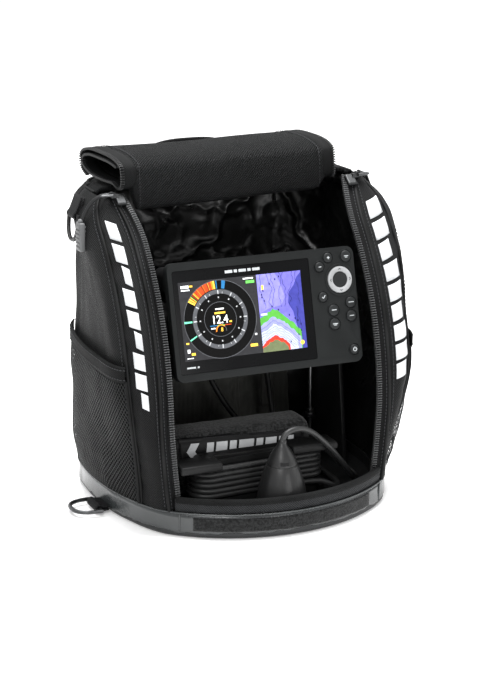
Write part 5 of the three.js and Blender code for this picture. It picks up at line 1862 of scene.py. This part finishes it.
def icon(kind, x, z):
    """Plain signs: plus, minus, tick, ring, and short bars."""
    if kind == "zoom_in":
        return [box_shape(x - 1.3, x + 1.3, z - 0.35, z + 0.35),
                box_shape(x - 0.35, x + 0.35, z + 0.35, z + 1.3),
                box_shape(x - 0.35, x + 0.35, z - 1.3, z - 0.35)]
    if kind == "zoom_out":
        return [box_shape(x - 1.3, x + 1.3, z - 0.35, z + 0.35)]
    if kind == "check":
        return [line_shape([(x - 1.4, z), (x - 0.3, z - 1.2), (x + 1.6, z + 1.4)], 0.7)]
    if kind == "power":
        return [arc_shape((x, z), 1.3, 1.9, 30, 330, 20), box_shape(x - 0.3, x + 0.3, z + 0.4, z + 2.2)]
    wide = {"info": 2.0, "menu": 2.5, "view": 2.3, "exit": 2.1, "mark": 2.4}[kind]
    lines = [box_shape(x - wide, x + wide, z - 0.15, z + 0.5)]
    if kind in ("mark", "info"):
        lines.append(box_shape(x - wide * 0.6, x + wide * 0.6, z - 1.3, z - 0.7))
    return lines


def keys():
    """The buttons with their signs, and the cursor pad."""
    for kind, (x, z, r) in BUTTONS.items():
        button = f"button_{kind}"
        place = lambda a, b, h: on_face(x + a, h, z + b)
        profile = [(0, -1.55), (r * 0.55, -1.5), (r - 1.0, -1.3), (r - 0.4, -0.95), (r - 0.1, -0.4), (r, 0.4),
                   (r, 6.8), (0, 6.8)]
        made = lathe(f"key_{kind}", profile, place, KEY, button, 40)
        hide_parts(f"button_{kind}")
        flats(f"key_sign_{kind}", icon(kind, x, z), KEY_MARK, -1.64, button, 0.14)
        rim = [(r + 0.35, 0.3), (r + 0.4, -0.2), (r + 0.75, -0.45), (r + 1.15, -0.2), (r + 1.3, 0.3)]
        lathe(f"key_rim_{kind}", rim, place, BEZEL, "head", 40)
    x, z = PAD
    place = lambda a, b, h: on_face(x + a, h, z + b)
    ring = [(6.9, 0.8), (7.1, -0.6), (7.7, -1.1), (9.2, -1.35), (10.8, -1.2), (11.5, -0.7), (11.7, 0.2),
            (11.7, 2.4), (7, 2.6)]
    made = lathe("cursor_ring", ring, place, PALE, "cursor_pad", 72)
    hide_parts("cursor_pad")
    middle = [(0, -0.1), (3, -0.15), (5.2, -0.5), (6.2, -0.75), (6.75, -0.6), (6.85, 0.4), (6.85, 3.8),
              (0, 3.8)]
    lathe("cursor_middle", middle, place, KEY, "cursor_pad", 64)
    marks = []
    for k in range(4):
        c, s = math.cos(math.pi / 2 * k), math.sin(math.pi / 2 * k)
        corners = ((-1.1, 8.7), (0, 9.8), (1.1, 8.7))
        marks.append(line_shape([(x + p * c + q * s, z - p * s + q * c) for p, q in corners], 0.55))
    flats("cursor_marks", marks, LABEL, -1.42, "cursor_pad", 0.2)
    lathe("cursor_collar",
          [(12.1, 0.4), (12.1, -0.3), (12.6, -0.75), (13.4, -0.8), (14.2, -0.4), (14.5, 0.4)],
          place, BEZEL, "head", 72)


def head():
    """Housing and bezel with their small marks, the picture and the keys."""
    softened("front_bezel", BEZEL, 1.1, "head")
    softened("rear_housing", SHELL, 1.6, "head")
    for side in ("left", "right"):
        softened(f"gimbal_knob_{side}", SHELL, 1.0, f"gimbal_knob_{side}")
    repaint(GLASS, "screen_glass")
    # Painted shade: a thin dark strip stands in for the shade inside the groove between the bezel's two
    # parts.
    seam = [box_shape(72.35, 72.65, z0, z1) for z0, z1 in ((37.5, 50.2), (-50.2, 7.5))]
    flats("bezel_groove_shade", seam, LABEL, -0.03, "head", 0.05)
    flats("bezel_sensor", [arc_shape((80.3, -25.2), 0.05, 0.7, 120 * k, 120 * (k + 1), 8) for k in range(3)],
          LABEL, -0.04, "head", 0.05)
    places = ((-35, 7), (-26.6, 3), (-22.2, 7), (-13.8, 3), (-9.4, 7))
    lines = [box_shape(x, x + w, 38.0, 40.4) for x, w in places]
    drawn("glass_marks", lines, KEY_MARK, 0)
    lines = [box_shape(x0, x1, -39.8, -38.4) for x0, x1 in ((-78, -70), (-68.4, -66.6))]
    drawn("glass_marks_low", lines, KEY_MARK, 0)
    dial_page()
    chart_page()
    keys()


head()
